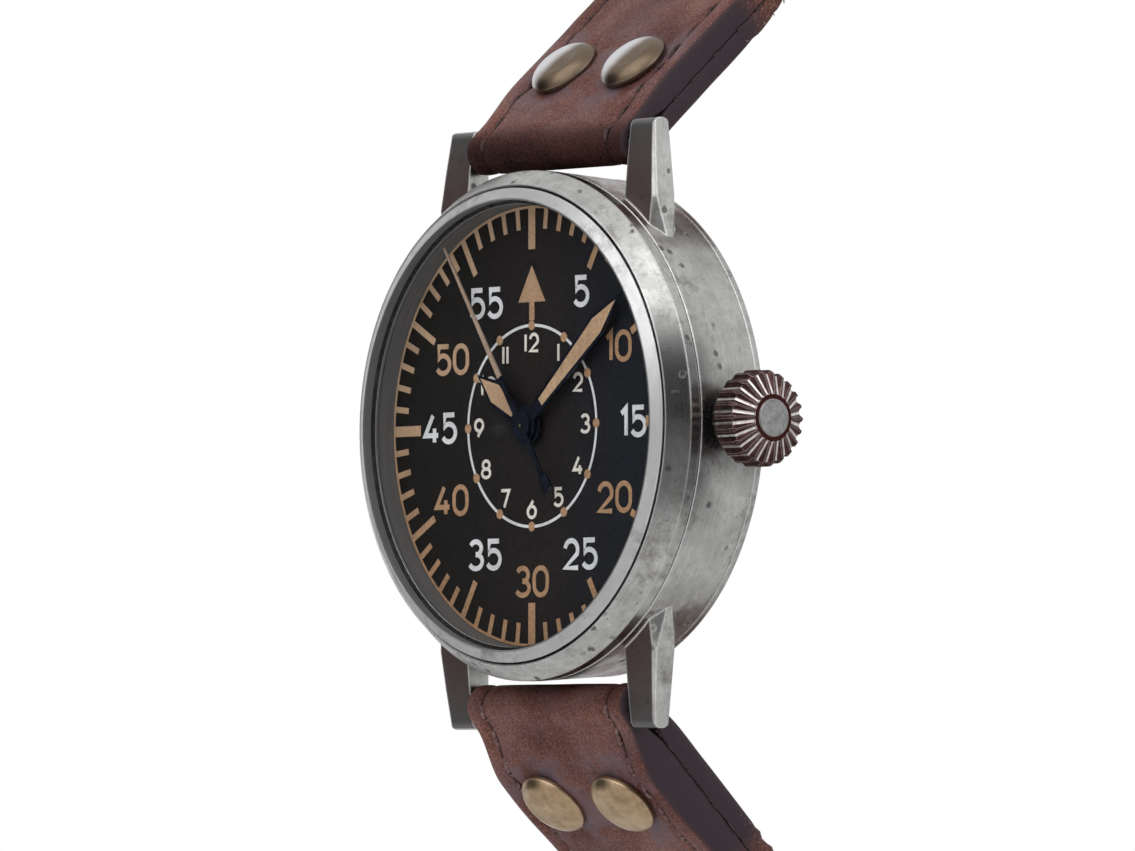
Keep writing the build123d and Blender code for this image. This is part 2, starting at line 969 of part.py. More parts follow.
def make_winding_stem():
    """The stem: pilot, square, round body with the lever's groove, and thread."""
    stem = turned_on_stem(
        (stem_square_end - overrun, 0),
        (stem_square_end - overrun, stem_square / 2),
        (stem_square_end, stem_radius),
        (stem_groove_start, stem_radius),
        (stem_groove_start, stem_groove_radius),
        (stem_groove_end, stem_groove_radius),
        (stem_groove_end, stem_radius),
        (crown_bore_end, stem_radius),
        (crown_bore_end, stem_thread_radius),
        (stem_end, stem_thread_radius),
        (stem_end, 0),
    )
    square = Rectangle(stem_square, stem_square)
    stem += on_stem(square, stem_square_start, stem_square_end)
    stem += on_stem(Circle(stem_pilot_radius), stem_pilot_start, stem_square_start)
    return stem


def make_winding_pinion():
    """The winding pinion: a plain hub, and teeth that drive the crown wheel."""
    teeth = toothed(
        winding_teeth,
        winding_tip_radius,
        winding_root_radius,
        pinion_tip_share,
        pinion_root_share,
        turn=90,
    )
    pinion = on_stem(teeth, winding_tooth_start, winding_end)
    pinion += on_stem(Circle(winding_hub_radius), winding_start, winding_tooth_start)
    bore = Circle(stem_radius + running)
    return pinion - on_stem(bore, winding_start - overrun, winding_end + overrun)


def make_sliding_pinion():
    """The sliding pinion: two toothed ends with the yoke's groove between them."""
    teeth = toothed(
        sliding_teeth,
        sliding_radius,
        sliding_root_radius,
        pinion_tip_share,
        pinion_root_share,
    )
    inner_end = sliding_start + sliding_tooth_length
    outer_start = sliding_end - sliding_tooth_length
    pinion = on_stem(teeth, sliding_start, inner_end)
    pinion += on_stem(teeth, outer_start, sliding_end)
    pinion += on_stem(Circle(sliding_groove_radius), inner_end, outer_start)
    side = stem_square + 2 * running
    bore = Rectangle(side, side)
    return pinion - on_stem(bore, sliding_start - overrun, sliding_end + overrun)


def make_setting_lever():
    """The setting lever, whose pin rides in the stem's groove."""
    pin_x = (stem_groove_start + stem_groove_end) / 2
    boss_x = pin_x + crown_pull / 2
    boss_y = -lever_pin_place - lever_reach
    level = motion_level
    top = level + lever_thickness
    lean = math.degrees(math.atan2(lever_reach, pin_x - boss_x))
    length = math.hypot(lever_reach, crown_pull / 2)
    arm = Pos(boss_x, boss_y) * Rot(0, 0, lean) * Pos(length / 2, 0)
    arm *= Rectangle(length, lever_arm_width)
    shape = arm + Pos(boss_x, boss_y) * Circle(lever_boss_radius)
    shape += Pos(pin_x, -lever_pin_place) * Circle(lever_arm_width / 2)
    lever = plate(shape, level, top)
    lever += rod(lever_pin_radius, stem_height, level, pin_x, -lever_pin_place)
    stud = motion_stud_radius + running
    return lever - rod(stud, level - overrun, top + overrun, boss_x, boss_y)


def make_yoke():
    """The yoke, whose pin moves the sliding pinion."""
    pin_x = (sliding_start + sliding_end) / 2
    level = motion_level
    top = level + lever_thickness
    lean = math.degrees(math.atan2(yoke_reach, pin_x - yoke_x))
    length = math.hypot(yoke_reach, pin_x - yoke_x)
    arm = Pos(yoke_x, yoke_y) * Rot(0, 0, lean) * Pos(length / 2, 0)
    arm *= Rectangle(length, yoke_arm_width)
    shape = arm + Pos(yoke_x, yoke_y) * Circle(yoke_boss_radius)
    shape += Pos(pin_x, -yoke_pin_place) * Circle(yoke_arm_width / 2)
    yoke = plate(shape, level, top)
    yoke += rod(yoke_pin_radius, stem_height, level, pin_x, -yoke_pin_place)
    stud = motion_stud_radius + running
    return yoke - rod(stud, level - overrun, top + overrun, yoke_x, yoke_y)


# The movement's frame


def make_movement_ring():
    """The spacer between movement and case, open where the stem passes."""
    inner = plate_radius + loose
    body = turned(
        (inner, plate_back),
        (movement_lip_radius, plate_back),
        (movement_lip_radius, thread_top),
        (movement_ring_radius, thread_top),
        (movement_ring_radius, dial_back),
        (inner, dial_back),
    )
    for x, y in clamp_screw_places():
        body -= rod(screw_radius, plate_back - overrun, plate_back + screw_length, x, y)
    clearance = tube_radius + loose
    return body - on_stem(Circle(clearance), plate_radius, bore_radius + overrun)


def screw_places():
    """Where the five bridge screws stand: barrel bridge, train bridge and cock."""
    places = [polar(screw_place, angle) for angle in screw_angles]
    places.append((train_pocket_radius, -train_pocket_radius))
    places.append((cock_foot_x, cock_foot_y))
    return places


def clamp_screw_places():
    """Where the three clamp screws stand, in the movement ring."""
    place = plate_radius - clamp_inset + clamp_length / 2
    return [polar(place, angle) for angle in clamp_angles]


def pivots():
    """Each pivoted wheel's place, and the height of its back jewel's front face."""
    return [
        (third_x, third_y, plate_back),
        (0, 0, plate_back),
        (escape_x, escape_y, plate_back),
        (pallet_x, pallet_y, pallet_bridge_low() + pallet_bridge_height),
        (balance_x, balance_y, plate_back),
    ]


def pallet_bridge_low():
    """The pallet bridge lies between the balance and the fork."""
    return balance_level + balance_height + wheel_clearance


def make_mainplate():
    """The mainplate, milled from both sides for the train, barrel and keyless works."""
    body = rod(plate_radius, plate_back, plate_front)
    body -= rod(dial_recess_radius, plate_floor, plate_front + overrun)
    pocket = Circle(train_pocket_radius)
    pocket += Pos(third_x, third_y) * Circle(third_pocket_radius)
    pocket += Pos(escape_x, escape_y) * Circle(escape_pocket_radius)
    pocket += Pos(balance_x, balance_y) * Circle(balance_pocket_radius)
    body -= plate(pocket, plate_back - overrun, pocket_floor)
    low = plate_back - overrun
    body -= rod(barrel_pocket_radius, low, barrel_pocket_floor, barrel_x, barrel_y)
    slot_length = keyless_slot_end - keyless_slot_start
    slot = Pos((keyless_slot_end + keyless_slot_start) / 2, 0)
    slot *= Rectangle(slot_length, keyless_slot_width)
    body -= plate(slot, low, keyless_floor)
    body -= on_stem(Circle(stem_radius + running), keyless_slot_start, plate_radius + overrun)
    pilot_bore = Circle(stem_pilot_radius + running)
    body -= on_stem(pilot_bore, train_pocket_radius - overrun, keyless_slot_end)
    body -= plate(lever_slot(), low, plate_front)
    body -= plate(yoke_slot(), keyless_floor - overrun, plate_front)
    body -= rod(centre_tube_radius + running, low, plate_front)
    pivot_hole = barrel_pivot_radius + running
    body -= rod(pivot_hole, low, plate_front, barrel_x, barrel_y)
    for x, y, _ in pivots():
        if (x, y) != (0, 0):
            body -= rod(jewel_radius, pocket_floor - overrun, plate_floor + overrun, x, y)
            body += ring(
                jewel_radius,
                jewel_bore_radius,
                pocket_floor + jewel_thickness,
                plate_floor,
                x,
                y,
            )
    for x, y in screw_places():
        body -= rod(screw_radius, low, plate_back + screw_length, x, y)
    for x, y in dial_feet():
        body -= rod(dial_foot_radius, dial_back - dial_foot_length, plate_front, x, y)
    stud_top = hour_wheel_level - loose
    body += rod(motion_stud_radius, plate_floor, stud_top, motion_x, motion_y)
    lever_top = motion_level + lever_thickness
    pin_x = (stem_groove_start + stem_groove_end) / 2
    boss_y = -lever_pin_place - lever_reach
    body += rod(motion_stud_radius, plate_floor, lever_top, pin_x + crown_pull / 2, boss_y)
    return body + rod(motion_stud_radius, plate_floor, lever_top, yoke_x, yoke_y)


def lever_slot():
    """The opening that the setting lever's pin passes through, with its travel."""
    start = stem_groove_start - loose
    end = stem_groove_end + crown_pull + loose
    width = 4 * lever_pin_radius
    return Pos((start + end) / 2, -lever_pin_place) * Rectangle(end - start, width)


def yoke_slot():
    """The opening that the yoke's pin passes through, with its travel."""
    middle = (sliding_start + sliding_end) / 2 - sliding_travel / 2
    length = sliding_travel + 4 * yoke_pin_radius
    return Pos(middle, -yoke_pin_place) * Rectangle(length, 4 * yoke_pin_radius)


def make_barrel_bridge():
    """The bridge over the barrel and the winding pinions."""
    outline = flat(
        (-bridge_radius / 2, bridge_radius),
        (-bridge_radius / 2, barrel_distance),
        (-centre_tube_radius, train_pocket_radius / 2 + bridge_gap),
        (third_distance, bridge_gap),
        (barrel_distance, -keyless_slot_width / 2 - bridge_margin),
        (bridge_radius, -keyless_slot_width / 2 - bridge_margin),
        (bridge_radius, bridge_radius),
    )
    shape = outline & Circle(bridge_radius)
    shape -= Pos(barrel_x, barrel_y) * Circle(barrel_pivot_radius + running)
    opening = winding_tip_radius + loose
    slot_length = winding_end - winding_start + 2 * loose
    slot = Pos((winding_start + winding_end) / 2, 0) * Rectangle(slot_length, 2 * opening)
    bridge = plate(shape - slot, bridge_back, plate_back)
    sink = crown_wheel_tip + loose
    wheel_top = ratchet_level + crown_wheel_height + loose
    bridge -= rod(sink, bridge_back - overrun, wheel_top, crown_wheel_place)
    core_top = wheel_top + overrun
    bridge += rod(crown_wheel_bore - running, ratchet_level, core_top, crown_wheel_place)
    for x, y in screw_places()[:2]:
        bridge -= rod(screw_radius, bridge_back - overrun, plate_back + overrun, x, y)
    return bridge


def make_train_bridge():
    """The bridge over the third, fourth and escape wheels, cut back round the balance."""
    outline = flat(
        (-bridge_radius, barrel_distance - bridge_gap),
        (-bridge_radius / 2, barrel_distance - bridge_gap),
        (-centre_tube_radius - bridge_gap, train_pocket_radius / 2 - bridge_gap),
        (third_distance - 2 * bridge_gap, -bridge_gap),
        (barrel_distance - bridge_gap, -keyless_slot_width / 2 - 2 * bridge_margin),
        (barrel_distance, -train_pocket_radius - screw_head_radius),
        (balance_x + balance_pocket_radius, balance_y),
        (balance_x, balance_y),
        (-bridge_radius, balance_y / 2),
    )
    shape = outline & Circle(bridge_radius)
    shape -= Pos(balance_x, balance_y) * Circle(cock_view_radius)
    shape -= Pos(crown_wheel_place, 0) * Circle(crown_wheel_tip + bridge_gap)
    bridge = plate(shape, bridge_back, plate_back)
    for x, y, _ in pivots()[:3]:
        bridge -= rod(jewel_radius, plate_back - jewel_thickness, plate_back + overrun, x, y)
    for x, y in screw_places()[2:4]:
        bridge -= rod(screw_radius, bridge_back - overrun, plate_back + overrun, x, y)
    return bridge


def make_balance_cock():
    """The cock that carries the balance, on one foot beside it."""
    length = math.hypot(cock_foot_x - balance_x, cock_foot_y - balance_y)
    lean = math.degrees(math.atan2(cock_foot_y - balance_y, cock_foot_x - balance_x))
    shape = Pos((cock_foot_x + balance_x) / 2, (cock_foot_y + balance_y) / 2)
    shape *= Rot(0, 0, lean) * SlotCenterToCenter(length, cock_width)
    cock = plate(shape, bridge_back, plate_back)
    jewel_low = plate_back - jewel_thickness
    cock -= rod(jewel_radius, jewel_low, plate_back + overrun, balance_x, balance_y)
    foot_x, foot_y = screw_places()[4]
    return cock - rod(screw_radius, bridge_back - overrun, plate_back + overrun, foot_x, foot_y)


def make_pallet_bridge():
    """The small bridge that carries the pallet fork, on two legs."""
    low = pallet_bridge_low()
    high = low + pallet_bridge_height
    place = Pos(pallet_x, pallet_y) * Rot(0, 0, line_angle + 90)
    shape = place * SlotCenterToCenter(pallet_bridge_span, pallet_bridge_width)
    bridge = plate(shape, low, high)
    for side in (-1, 1):
        leg = place * Pos(side * pallet_bridge_span / 2, 0) * Circle(pallet_bridge_width / 2)
        bridge += plate(leg, low, pocket_floor)
    return bridge - rod(jewel_radius, low - overrun, high + overrun, pallet_x, pallet_y)


def make_movement_screws():
    """The slotted screws of the bridges, the cock and the clamps."""
    seats = [(x, y, bridge_back) for x, y in screw_places()]
    seats += [(x, y, plate_back - clamp_thickness) for x, y in clamp_screw_places()]
    screws = Part()
    for x, y, seat in seats:
        screw = rod(screw_radius, seat, plate_back + screw_length, x, y)
        head_back = seat - screw_head_height
        screw += rod(screw_head_radius, head_back, seat, x, y)
        slot = Box(2 * screw_head_radius + overrun, screw_slot, screw_slot)
        screws += screw - Pos(x, y, head_back) * slot
    return screws


def make_jewels():
    """The pivot jewels pressed into the mainplate and the bridges."""
    jewels = Part()
    for x, y, back_face in pivots():
        thickness = jewel_thickness
        if (x, y) == (pallet_x, pallet_y):
            thickness = pallet_bridge_height
        jewels += ring(
            jewel_radius, jewel_bore_radius, back_face - thickness, back_face, x, y
        )
        if (x, y) != (0, 0):
            front = pocket_floor + jewel_thickness
            jewels += ring(jewel_radius, jewel_bore_radius, pocket_floor, front, x, y)
    return jewels


def make_movement_clamps():
    """Three clamps that hold the movement down in its ring."""
    clamps = Part()
    low = plate_back - clamp_thickness
    for angle, (x, y) in zip(clamp_angles, clamp_screw_places()):
        tab = Rectangle(clamp_length, clamp_width)
        middle = plate_radius - clamp_inset + clamp_length / 2
        tab = Rot(0, 0, angle) * Pos(middle, 0) * tab - Pos(x, y) * Circle(screw_radius)
        clamps += plate(tab, low, plate_back)
    return clamps


# The going train


def make_barrel():
    """The barrel drum: toothed rim, thin wall and floor, hollow for the mainspring."""
    module = 2 * barrel_distance / (barrel_teeth + centre_pinion_teeth)
    outline = wheel_outline(barrel_teeth, module, barrel_angle + 180)
    barrel = plate(outline, 0, barrel_tooth_height)
    barrel += rod(barrel_drum_radius, 0, barrel_height)
    inside = barrel_drum_radius - barrel_wall
    barrel -= rod(inside, barrel_wall, barrel_height - barrel_wall)
    barrel -= rod(barrel_arbor_radius + running, -overrun, barrel_height + overrun)
    return Pos(barrel_x, barrel_y, barrel_level) * barrel


def make_mainspring():
    """The mainspring: a flat spiral from the arbor to the drum's wall."""
    height = barrel_height - 2 * barrel_wall - 2 * loose
    spiral = spring_outline(
        mainspring_turns, mainspring_start, mainspring_pitch, mainspring_width
    )
    low = barrel_level + barrel_wall + loose
    return Pos(barrel_x, barrel_y, low) * extrude(spiral, height)


def spring_outline(turns, start, pitch, width):
    """A flat spiral ribbon with even spacing, as straight stretches."""
    steps = spring_steps * turns
    inner = []
    outer = []
    for step in range(steps + 1):
        angle = 360 * turns * step / steps
        radius = start + pitch * turns * step / steps
        inner.append(polar(radius - width / 2, angle))
        outer.append(polar(radius + width / 2, angle))
    return flat(*inner, *reversed(outer))


def make_barrel_arbor():
    """The barrel arbor, with a square for the ratchet wheel."""
    x, y = barrel_x, barrel_y
    arbor_body = rod(barrel_arbor_radius, barrel_level, barrel_top, x, y)
    back = ratchet_level + ratchet_height
    arbor_body += rod(barrel_pivot_radius, back, barrel_pocket_floor + jewel_thickness, x, y)
    side = ratchet_square / math.sqrt(2)
    square = Pos(x, y) * Rectangle(side, side)
    return arbor_body + plate(square, ratchet_level, back)


def make_centre_wheel():
    """The centre wheel on its hollow arbor, with its pinion behind the barrel's teeth."""
    train_module = 2 * third_distance / (centre_teeth + third_pinion_teeth)
    barrel_module = 2 * barrel_distance / (barrel_teeth + centre_pinion_teeth)
    outline = wheel_outline(centre_teeth, train_module)
    root = centre_teeth * train_module / 2 - wheel_dedendum_share * train_module
    outline = spoked(outline, root - wheel_rim, wheel_hub_radius, wheel_arm, 4)
    wheel = plate(outline, centre_level, centre_level + wheel_thickness)
    turn = mesh_turn(centre_pinion_teeth, barrel_angle + 180, barrel_teeth, barrel_angle + 180)
    leaves = pinion_outline(centre_pinion_teeth, barrel_module, turn)
    pinion_top = barrel_level + barrel_tooth_height + pinion_overhang
    wheel += plate(leaves, centre_level, pinion_top)
    wheel += rod(centre_tube_radius, centre_level, minute_hand_level - loose)
    return wheel - rod(centre_tube_bore, centre_level - overrun, minute_hand_level)


def make_third_wheel():
    """The third wheel and its pinion."""
    centre_module = 2 * third_distance / (centre_teeth + third_pinion_teeth)
    fourth_module = 2 * third_distance / (third_teeth + fourth_pinion_teeth)
    outline = wheel_outline(third_teeth, fourth_module)
    root = third_teeth * fourth_module / 2 - wheel_dedendum_share * fourth_module
    outline = spoked(outline, root - wheel_rim, wheel_hub_radius, wheel_arm, 4)
    wheel = plate(outline, third_level, third_level + wheel_thickness)
    turn = mesh_turn(third_pinion_teeth, third_angle, centre_teeth, 0)
    leaves = pinion_outline(third_pinion_teeth, centre_module, turn)
    leaf_top = centre_level + wheel_thickness + pinion_overhang
    wheel += plate(leaves, third_level, leaf_top)
    wheel = Pos(third_x, third_y) * wheel
    pivot_low = plate_back - jewel_thickness + loose
    pivot_high = pocket_floor + jewel_thickness - loose
    return wheel + arbor(
        third_x, third_y, pivot_low, pivot_high, plate_back + loose, pocket_floor - loose
    )


def make_fourth_wheel():
    """The fourth wheel, whose long arbor carries the seconds hand at the centre."""
    third_module = 2 * third_distance / (third_teeth + fourth_pinion_teeth)
    escape_module = 2 * escape_distance / (fourth_teeth + escape_pinion_teeth)
    outline = wheel_outline(fourth_teeth, escape_module)
    root = fourth_teeth * escape_module / 2 - wheel_dedendum_share * escape_module
    outline = spoked(outline, root - wheel_rim, wheel_hub_radius, wheel_arm, 4)
    wheel = plate(outline, fourth_level, fourth_level + wheel_thickness)
    turn = mesh_turn(fourth_pinion_teeth, third_angle + 180, third_teeth, 0)
    leaves = pinion_outline(fourth_pinion_teeth, third_module, turn)
    leaf_top = third_level + wheel_thickness + pinion_overhang
    wheel += plate(leaves, fourth_level, leaf_top)
    pivot_low = plate_back - jewel_thickness + loose
    top = second_hand_level + hand_thickness
    return wheel + rod(pivot_radius, pivot_low, top)


def make_escape_wheel():
    """The escape wheel: fifteen club teeth on thin arms, with its pinion."""
    escape_module = 2 * escape_distance / (fourth_teeth + escape_pinion_teeth)
    points = []
    for tooth in range(escape_teeth):
        for radius_share, pitch_share in escape_tooth_shares:
            angle = 360 / escape_teeth * (tooth + pitch_share)
            points.append(polar(escape_radius * radius_share, angle))
    outline = flat(*points)
    rim = escape_radius * escape_rim_share
    outline = spoked(outline, rim, escape_hub_radius, wheel_arm / 2, 4)
    wheel = plate(outline, escape_level, escape_level + wheel_thickness)
    turn = mesh_turn(escape_pinion_teeth, escape_angle, fourth_teeth, 0)
    leaves = pinion_outline(escape_pinion_teeth, escape_module, turn)
    leaf_top = fourth_level + wheel_thickness + pinion_overhang
    wheel += plate(leaves, fourth_level - pinion_overhang / 2, leaf_top)
    wheel = Pos(escape_x, escape_y) * wheel
    pivot_low = plate_back - jewel_thickness + loose
    pivot_high = pocket_floor + jewel_thickness - loose
    return wheel + arbor(
        escape_x, escape_y, pivot_low, pivot_high, plate_back + loose, pocket_floor - loose
    )


def make_pallet_fork():
    """The pallet fork with its two stones, between escape wheel and balance."""
    tail_length = (1 - pallet_share) * line_length - pallet_tail_gap
    tail = Pos(tail_length / 2, 0) * Rectangle(tail_length, pallet_arm_width)
    notch = Rectangle(3 * impulse_pin_radius, 3 * impulse_pin_radius)
    head = Pos(tail_length - pallet_arm_width, 0) * Circle(pallet_arm_width)
    shape = tail + head - Pos(tail_length, 0) * notch
    for side in (-1, 1):
        turn = 180 - side * pallet_arm_angle
        beam = Pos(pallet_arm / 2, 0) * Rectangle(pallet_arm, pallet_arm_width)
        shape += Rot(0, 0, turn) * beam
        stone_x, stone_y = polar(pallet_arm, turn)
        lean = math.degrees(math.atan2(side * -stone_y, stone_x))
        stone = Rectangle(pallet_stone_width, pallet_stone_length)
        shape += Pos(stone_x, stone_y) * Rot(0, 0, lean * pallet_stone_lean_share) * stone
    shape += Circle(pallet_hub_radius)
    shape = Pos(pallet_x, pallet_y) * Rot(0, 0, line_angle) * shape
    fork = plate(shape, escape_level, escape_level + fork_thickness)
    bridge_front = pallet_bridge_low() + pallet_bridge_height
    pivot_low = pallet_bridge_low() + loose
    pivot_high = pocket_floor + jewel_thickness - loose
    return fork + arbor(
        pallet_x, pallet_y, pivot_low, pivot_high, bridge_front + loose, pocket_floor - loose
    )


def make_balance_wheel():
    """The balance: a heavy rim on two arms, its staff, roller and impulse pin."""
    outline = Circle(balance_radius)
    outline = spoked(outline, balance_radius - balance_rim, wheel_hub_radius, wheel_arm, 2)
    wheel = plate(outline, balance_level, balance_level + balance_height)
    roller_low = escape_level - roller_height
    wheel += rod(roller_radius, roller_low, escape_level)
    pin_x, pin_y = polar(impulse_pin_place, line_angle + 180)
    pin_top = escape_level + impulse_pin_height
    wheel += rod(impulse_pin_radius, escape_level, pin_top, pin_x, pin_y)
    wheel = Pos(balance_x, balance_y) * wheel
    pivot_low = plate_back - jewel_thickness + loose
    pivot_high = pocket_floor + jewel_thickness - loose
    return wheel + arbor(
        balance_x, balance_y, pivot_low, pivot_high, plate_back + loose, pocket_floor - loose
    )


def make_hairspring():
    """The hairspring, between the balance and its cock."""
    spiral = spring_outline(
        hairspring_turns, hairspring_start, hairspring_pitch, hairspring_width
    )
    low = plate_back + loose
    return Pos(balance_x, balance_y, low) * extrude(spiral, hairspring_height)


# The motion works


def motion_module(first, second):
    """The module of a pair of wheels under the dial."""
    return 2 * motion_distance / (first + second)


def make_cannon_pinion():
    """The cannon pinion, which turns once an hour and carries the minute hand."""
    module = motion_module(cannon_teeth, minute_wheel_teeth)
    leaves = pinion_outline(cannon_teeth, module, motion_angle)
    leaf_top = motion_level + wheel_thickness + 2 * pinion_overhang
    pinion = plate(leaves, motion_level, leaf_top)
    pinion += rod(cannon_radius, motion_level, minute_hand_level + hand_thickness)
    return pinion - rod(cannon_bore, motion_level - overrun, second_hand_level)


def make_minute_wheel():
    """The minute wheel and its pinion, between cannon pinion and hour wheel."""
    wheel_module = motion_module(cannon_teeth, minute_wheel_teeth)
    pinion_module = motion_module(minute_pinion_teeth, hour_wheel_teeth)
    turn = mesh_turn(minute_wheel_teeth, motion_angle, cannon_teeth, motion_angle)
    outline = wheel_outline(minute_wheel_teeth, wheel_module, turn)
    wheel = plate(outline, motion_level, motion_level + wheel_thickness)
    leaves = pinion_outline(minute_pinion_teeth, pinion_module, motion_angle + 180)
    leaf_top = hour_wheel_level + wheel_thickness
    wheel += plate(leaves, motion_level, leaf_top)
    wheel = Pos(motion_x, motion_y) * wheel
    bore = motion_stud_radius + running
    return wheel - rod(bore, motion_level - overrun, leaf_top + overrun, motion_x, motion_y)


def make_hour_wheel():
    """The hour wheel, whose pipe carries the hour hand."""
    module = motion_module(minute_pinion_teeth, hour_wheel_teeth)
    turn = mesh_turn(hour_wheel_teeth, motion_angle + 180, minute_pinion_teeth, motion_angle + 180)
    outline = wheel_outline(hour_wheel_teeth, module, turn)
    wheel = plate(outline, hour_wheel_level, hour_wheel_level + wheel_thickness)
    wheel += rod(hour_pipe_radius, hour_wheel_level, hour_hand_level + hand_thickness)
    return wheel - rod(hour_pipe_bore, hour_wheel_level - overrun, second_hand_level)


# The winding works


def make_crown_wheel():
    """The crown wheel, turned by the winding pinion, turning the ratchet wheel."""
    outline = toothed(
        crown_wheel_teeth,
        crown_wheel_tip,
        crown_wheel_root,
        wheel_tip_share,
        wheel_root_share,
        turn=180 / crown_wheel_teeth,
    )
    outline -= Circle(crown_wheel_bore)
    top = ratchet_level + crown_wheel_height
    return Pos(crown_wheel_place) * plate(outline, ratchet_level, top)


def make_ratchet_wheel():
    """The ratchet wheel on the barrel arbor's square."""
    away_x = barrel_x - crown_wheel_place
    towards = math.degrees(math.atan2(barrel_y, away_x))
    turn = mesh_turn(ratchet_teeth, towards, crown_wheel_teeth, 180 / crown_wheel_teeth)
    outline = toothed(
        ratchet_teeth,
        ratchet_tip,
        ratchet_root,
        pinion_tip_share,
        pinion_root_share,
        turn,
    )
    side = ratchet_square / math.sqrt(2)
    outline -= Rectangle(side, side)
    wheel = plate(outline, ratchet_level, ratchet_level + ratchet_height)
    return Pos(barrel_x, barrel_y) * wheel


def make_click():
    """The click that stops the ratchet wheel from running back."""
    away_x, away_y = polar(click_distance, click_angle)
    shape = Circle(click_radius)
    nose = flat(
        (-click_width / 2, 0),
        (-click_width / 4, click_length),
        (click_width / 4, click_length),
        (click_width / 2, 0),
    )
    shape += Rot(0, 0, click_angle + click_lean) * nose
    click = plate(shape, ratchet_level, ratchet_level + ratchet_height)
    click += rod(click_radius / 2, ratchet_level, bridge_back)
    return Pos(barrel_x + away_x, barrel_y + away_y) * click


# The strap


def strap_place(along, out, bend):
    """A point of a strap half, (y, z), from its distance along and out of the leather.

    The half runs straight, bends through a wide arc, and runs straight again;
    along is counted from the spring bar's axis.
    """
    curve, lean = bend
    lean = math.radians(lean)
    bent = max(0.0, min(along - strap_straight, curve))
    rest = max(0.0, along - strap_straight - curve)
    straight = min(along, strap_straight)
    turn = lean + bent / strap_curve_radius
    y = bar_place + straight * math.cos(lean)
    z = bar_height - straight * math.sin(lean)
    y += strap_curve_radius * (math.sin(turn) - math.sin(lean))
    z += strap_curve_radius * (math.cos(turn) - math.cos(lean))
    y += rest * math.cos(turn) + out * math.sin(turn)
    z += -rest * math.sin(turn) + out * math.cos(turn)
    return (y, z)


def strap_frame(along, out, bend):
    """The plane at a place on a strap half: X across, Y along, Z out of the leather."""
    curve, lean = bend
    bent = max(0.0, min(along - strap_straight, curve))
    turn = math.radians(lean) + bent / strap_curve_radius
    y, z = strap_place(along, out, bend)
    return Plane((0, y, z), x_dir=(1, 0, 0), z_dir=(0, math.sin(turn), math.cos(turn)))


def strap_width_at(along, length):
    """The strap's width: even to its first bend, then tapering to its end."""
    share = max(0.0, along - strap_straight) / (length - strap_straight)
    return strap_width + share * (strap_end_width - strap_width)


def drawn_across(outline, width):
    """A side outline in the YZ plane drawn out both ways across the strap."""
    return extrude(Plane.YZ * make_face(outline), width / 2, both=True)


def tapered(solid, length, bend):
    """Trim a strap solid's sides to its taper."""
    top = strap_place(0, 0, bend)[1] + strap_width
    bend_z = strap_place(strap_straight, 0, bend)[1]
    end_z = strap_place(length, 0, bend)[1] - strap_width / 2
    half = strap_width / 2
    end_half = strap_end_width / 2
    outline = flat(
        (-half, top),
        (-half, bend_z),
        (-end_half, end_z),
        (end_half, end_z),
        (half, bend_z),
        (half, top),
    )
    return solid & extrude(Plane.XZ * outline, 2 * bar_place + length, both=True)


def bend_arc(out, bend, backwards=False):
    """The arc that the strap's bend makes at a height out of the leather."""
    curve = bend[0]
    points = [
        strap_place(strap_straight, out, bend),
        strap_place(strap_straight + curve / 2, out, bend),
        strap_place(strap_straight + curve, out, bend),
    ]
    if backwards:
        points.reverse()
    return ThreePointArc(*points)


def make_upper(length, bend, front, rear, end):
    """The outer leather: folded round the spring bar, riveted, then the long body.

    end is the list of points that close the far end, from the outer face inward.
    """

    def at(along, out):
        return strap_place(along, out, bend)

    body = strap_body_thickness
    bend_end = strap_straight + bend[0]
    outline = Line(at(0, strap_fold_radius), at(strap_swell_reach, front))
    outline += Line(at(strap_swell_reach, front), at(strap_straight, body))
    outline += bend_arc(body, bend)
    corners = [at(bend_end, body), *end, at(bend_end, 0)]
    outline += Polyline(*corners)
    outline += bend_arc(0, bend, backwards=True)
    inner = [
        at(strap_straight, 0),
        at(strap_turn_end, 0),
        at(strap_turn_end, -rear),
        at(strap_swell_reach, -rear),
        at(0, -strap_fold_radius),
    ]
    outline += Polyline(*inner)
    outline += ThreePointArc(
        at(0, -strap_fold_radius), at(-strap_fold_radius, 0), at(0, strap_fold_radius)
    )
    upper = tapered(drawn_across(outline, strap_width), length, bend)
    bore = Plane.YZ * Circle(bar_radius + running)
    bore = extrude(bore, strap_width, both=True)
    upper -= Pos(0, bar_place, bar_height) * bore
    return drilled_for_rivets(upper, bend)


def drilled_for_rivets(leather, bend):
    """Punch the two rivet holes."""
    for side in (-1, 1):
        hole = Cylinder(rivet_shank_radius, 2 * strap_width / 3)
        hole = Pos(side * rivet_spacing / 2, 0) * hole
        leather -= strap_frame(rivet_reach, 0, bend) * hole
    return leather


def make_lining(length, bend, end_gap):
    """The thin lining inside the strap, from the fold's end to near the tail."""
    thickness = lining_thickness

    def at(along, out):
        return strap_place(along, out, bend)

    start = strap_turn_end + lining_gap
    end = length - end_gap
    bend_end = strap_straight + bend[0]
    outline = Line(at(start, 0), at(strap_straight, 0)) + bend_arc(0, bend)
    corners = [at(bend_end, 0), at(end, 0), at(end, -thickness), at(bend_end, -thickness)]
    outline += Polyline(*corners)
    outline += bend_arc(-thickness, bend, backwards=True)
    last = [at(strap_straight, -thickness), at(start, -thickness), at(start, 0)]
    outline += Polyline(*last)
    return tapered(drawn_across(outline, strap_width), length, bend)


def buckle_frame_plane():
    """The plane at the buckle bar: X across, Y along the strap, Z outward."""
    middle = (strap_body_thickness - lining_thickness) / 2
    return strap_frame(strap_12_length, middle, strap_12_bend)


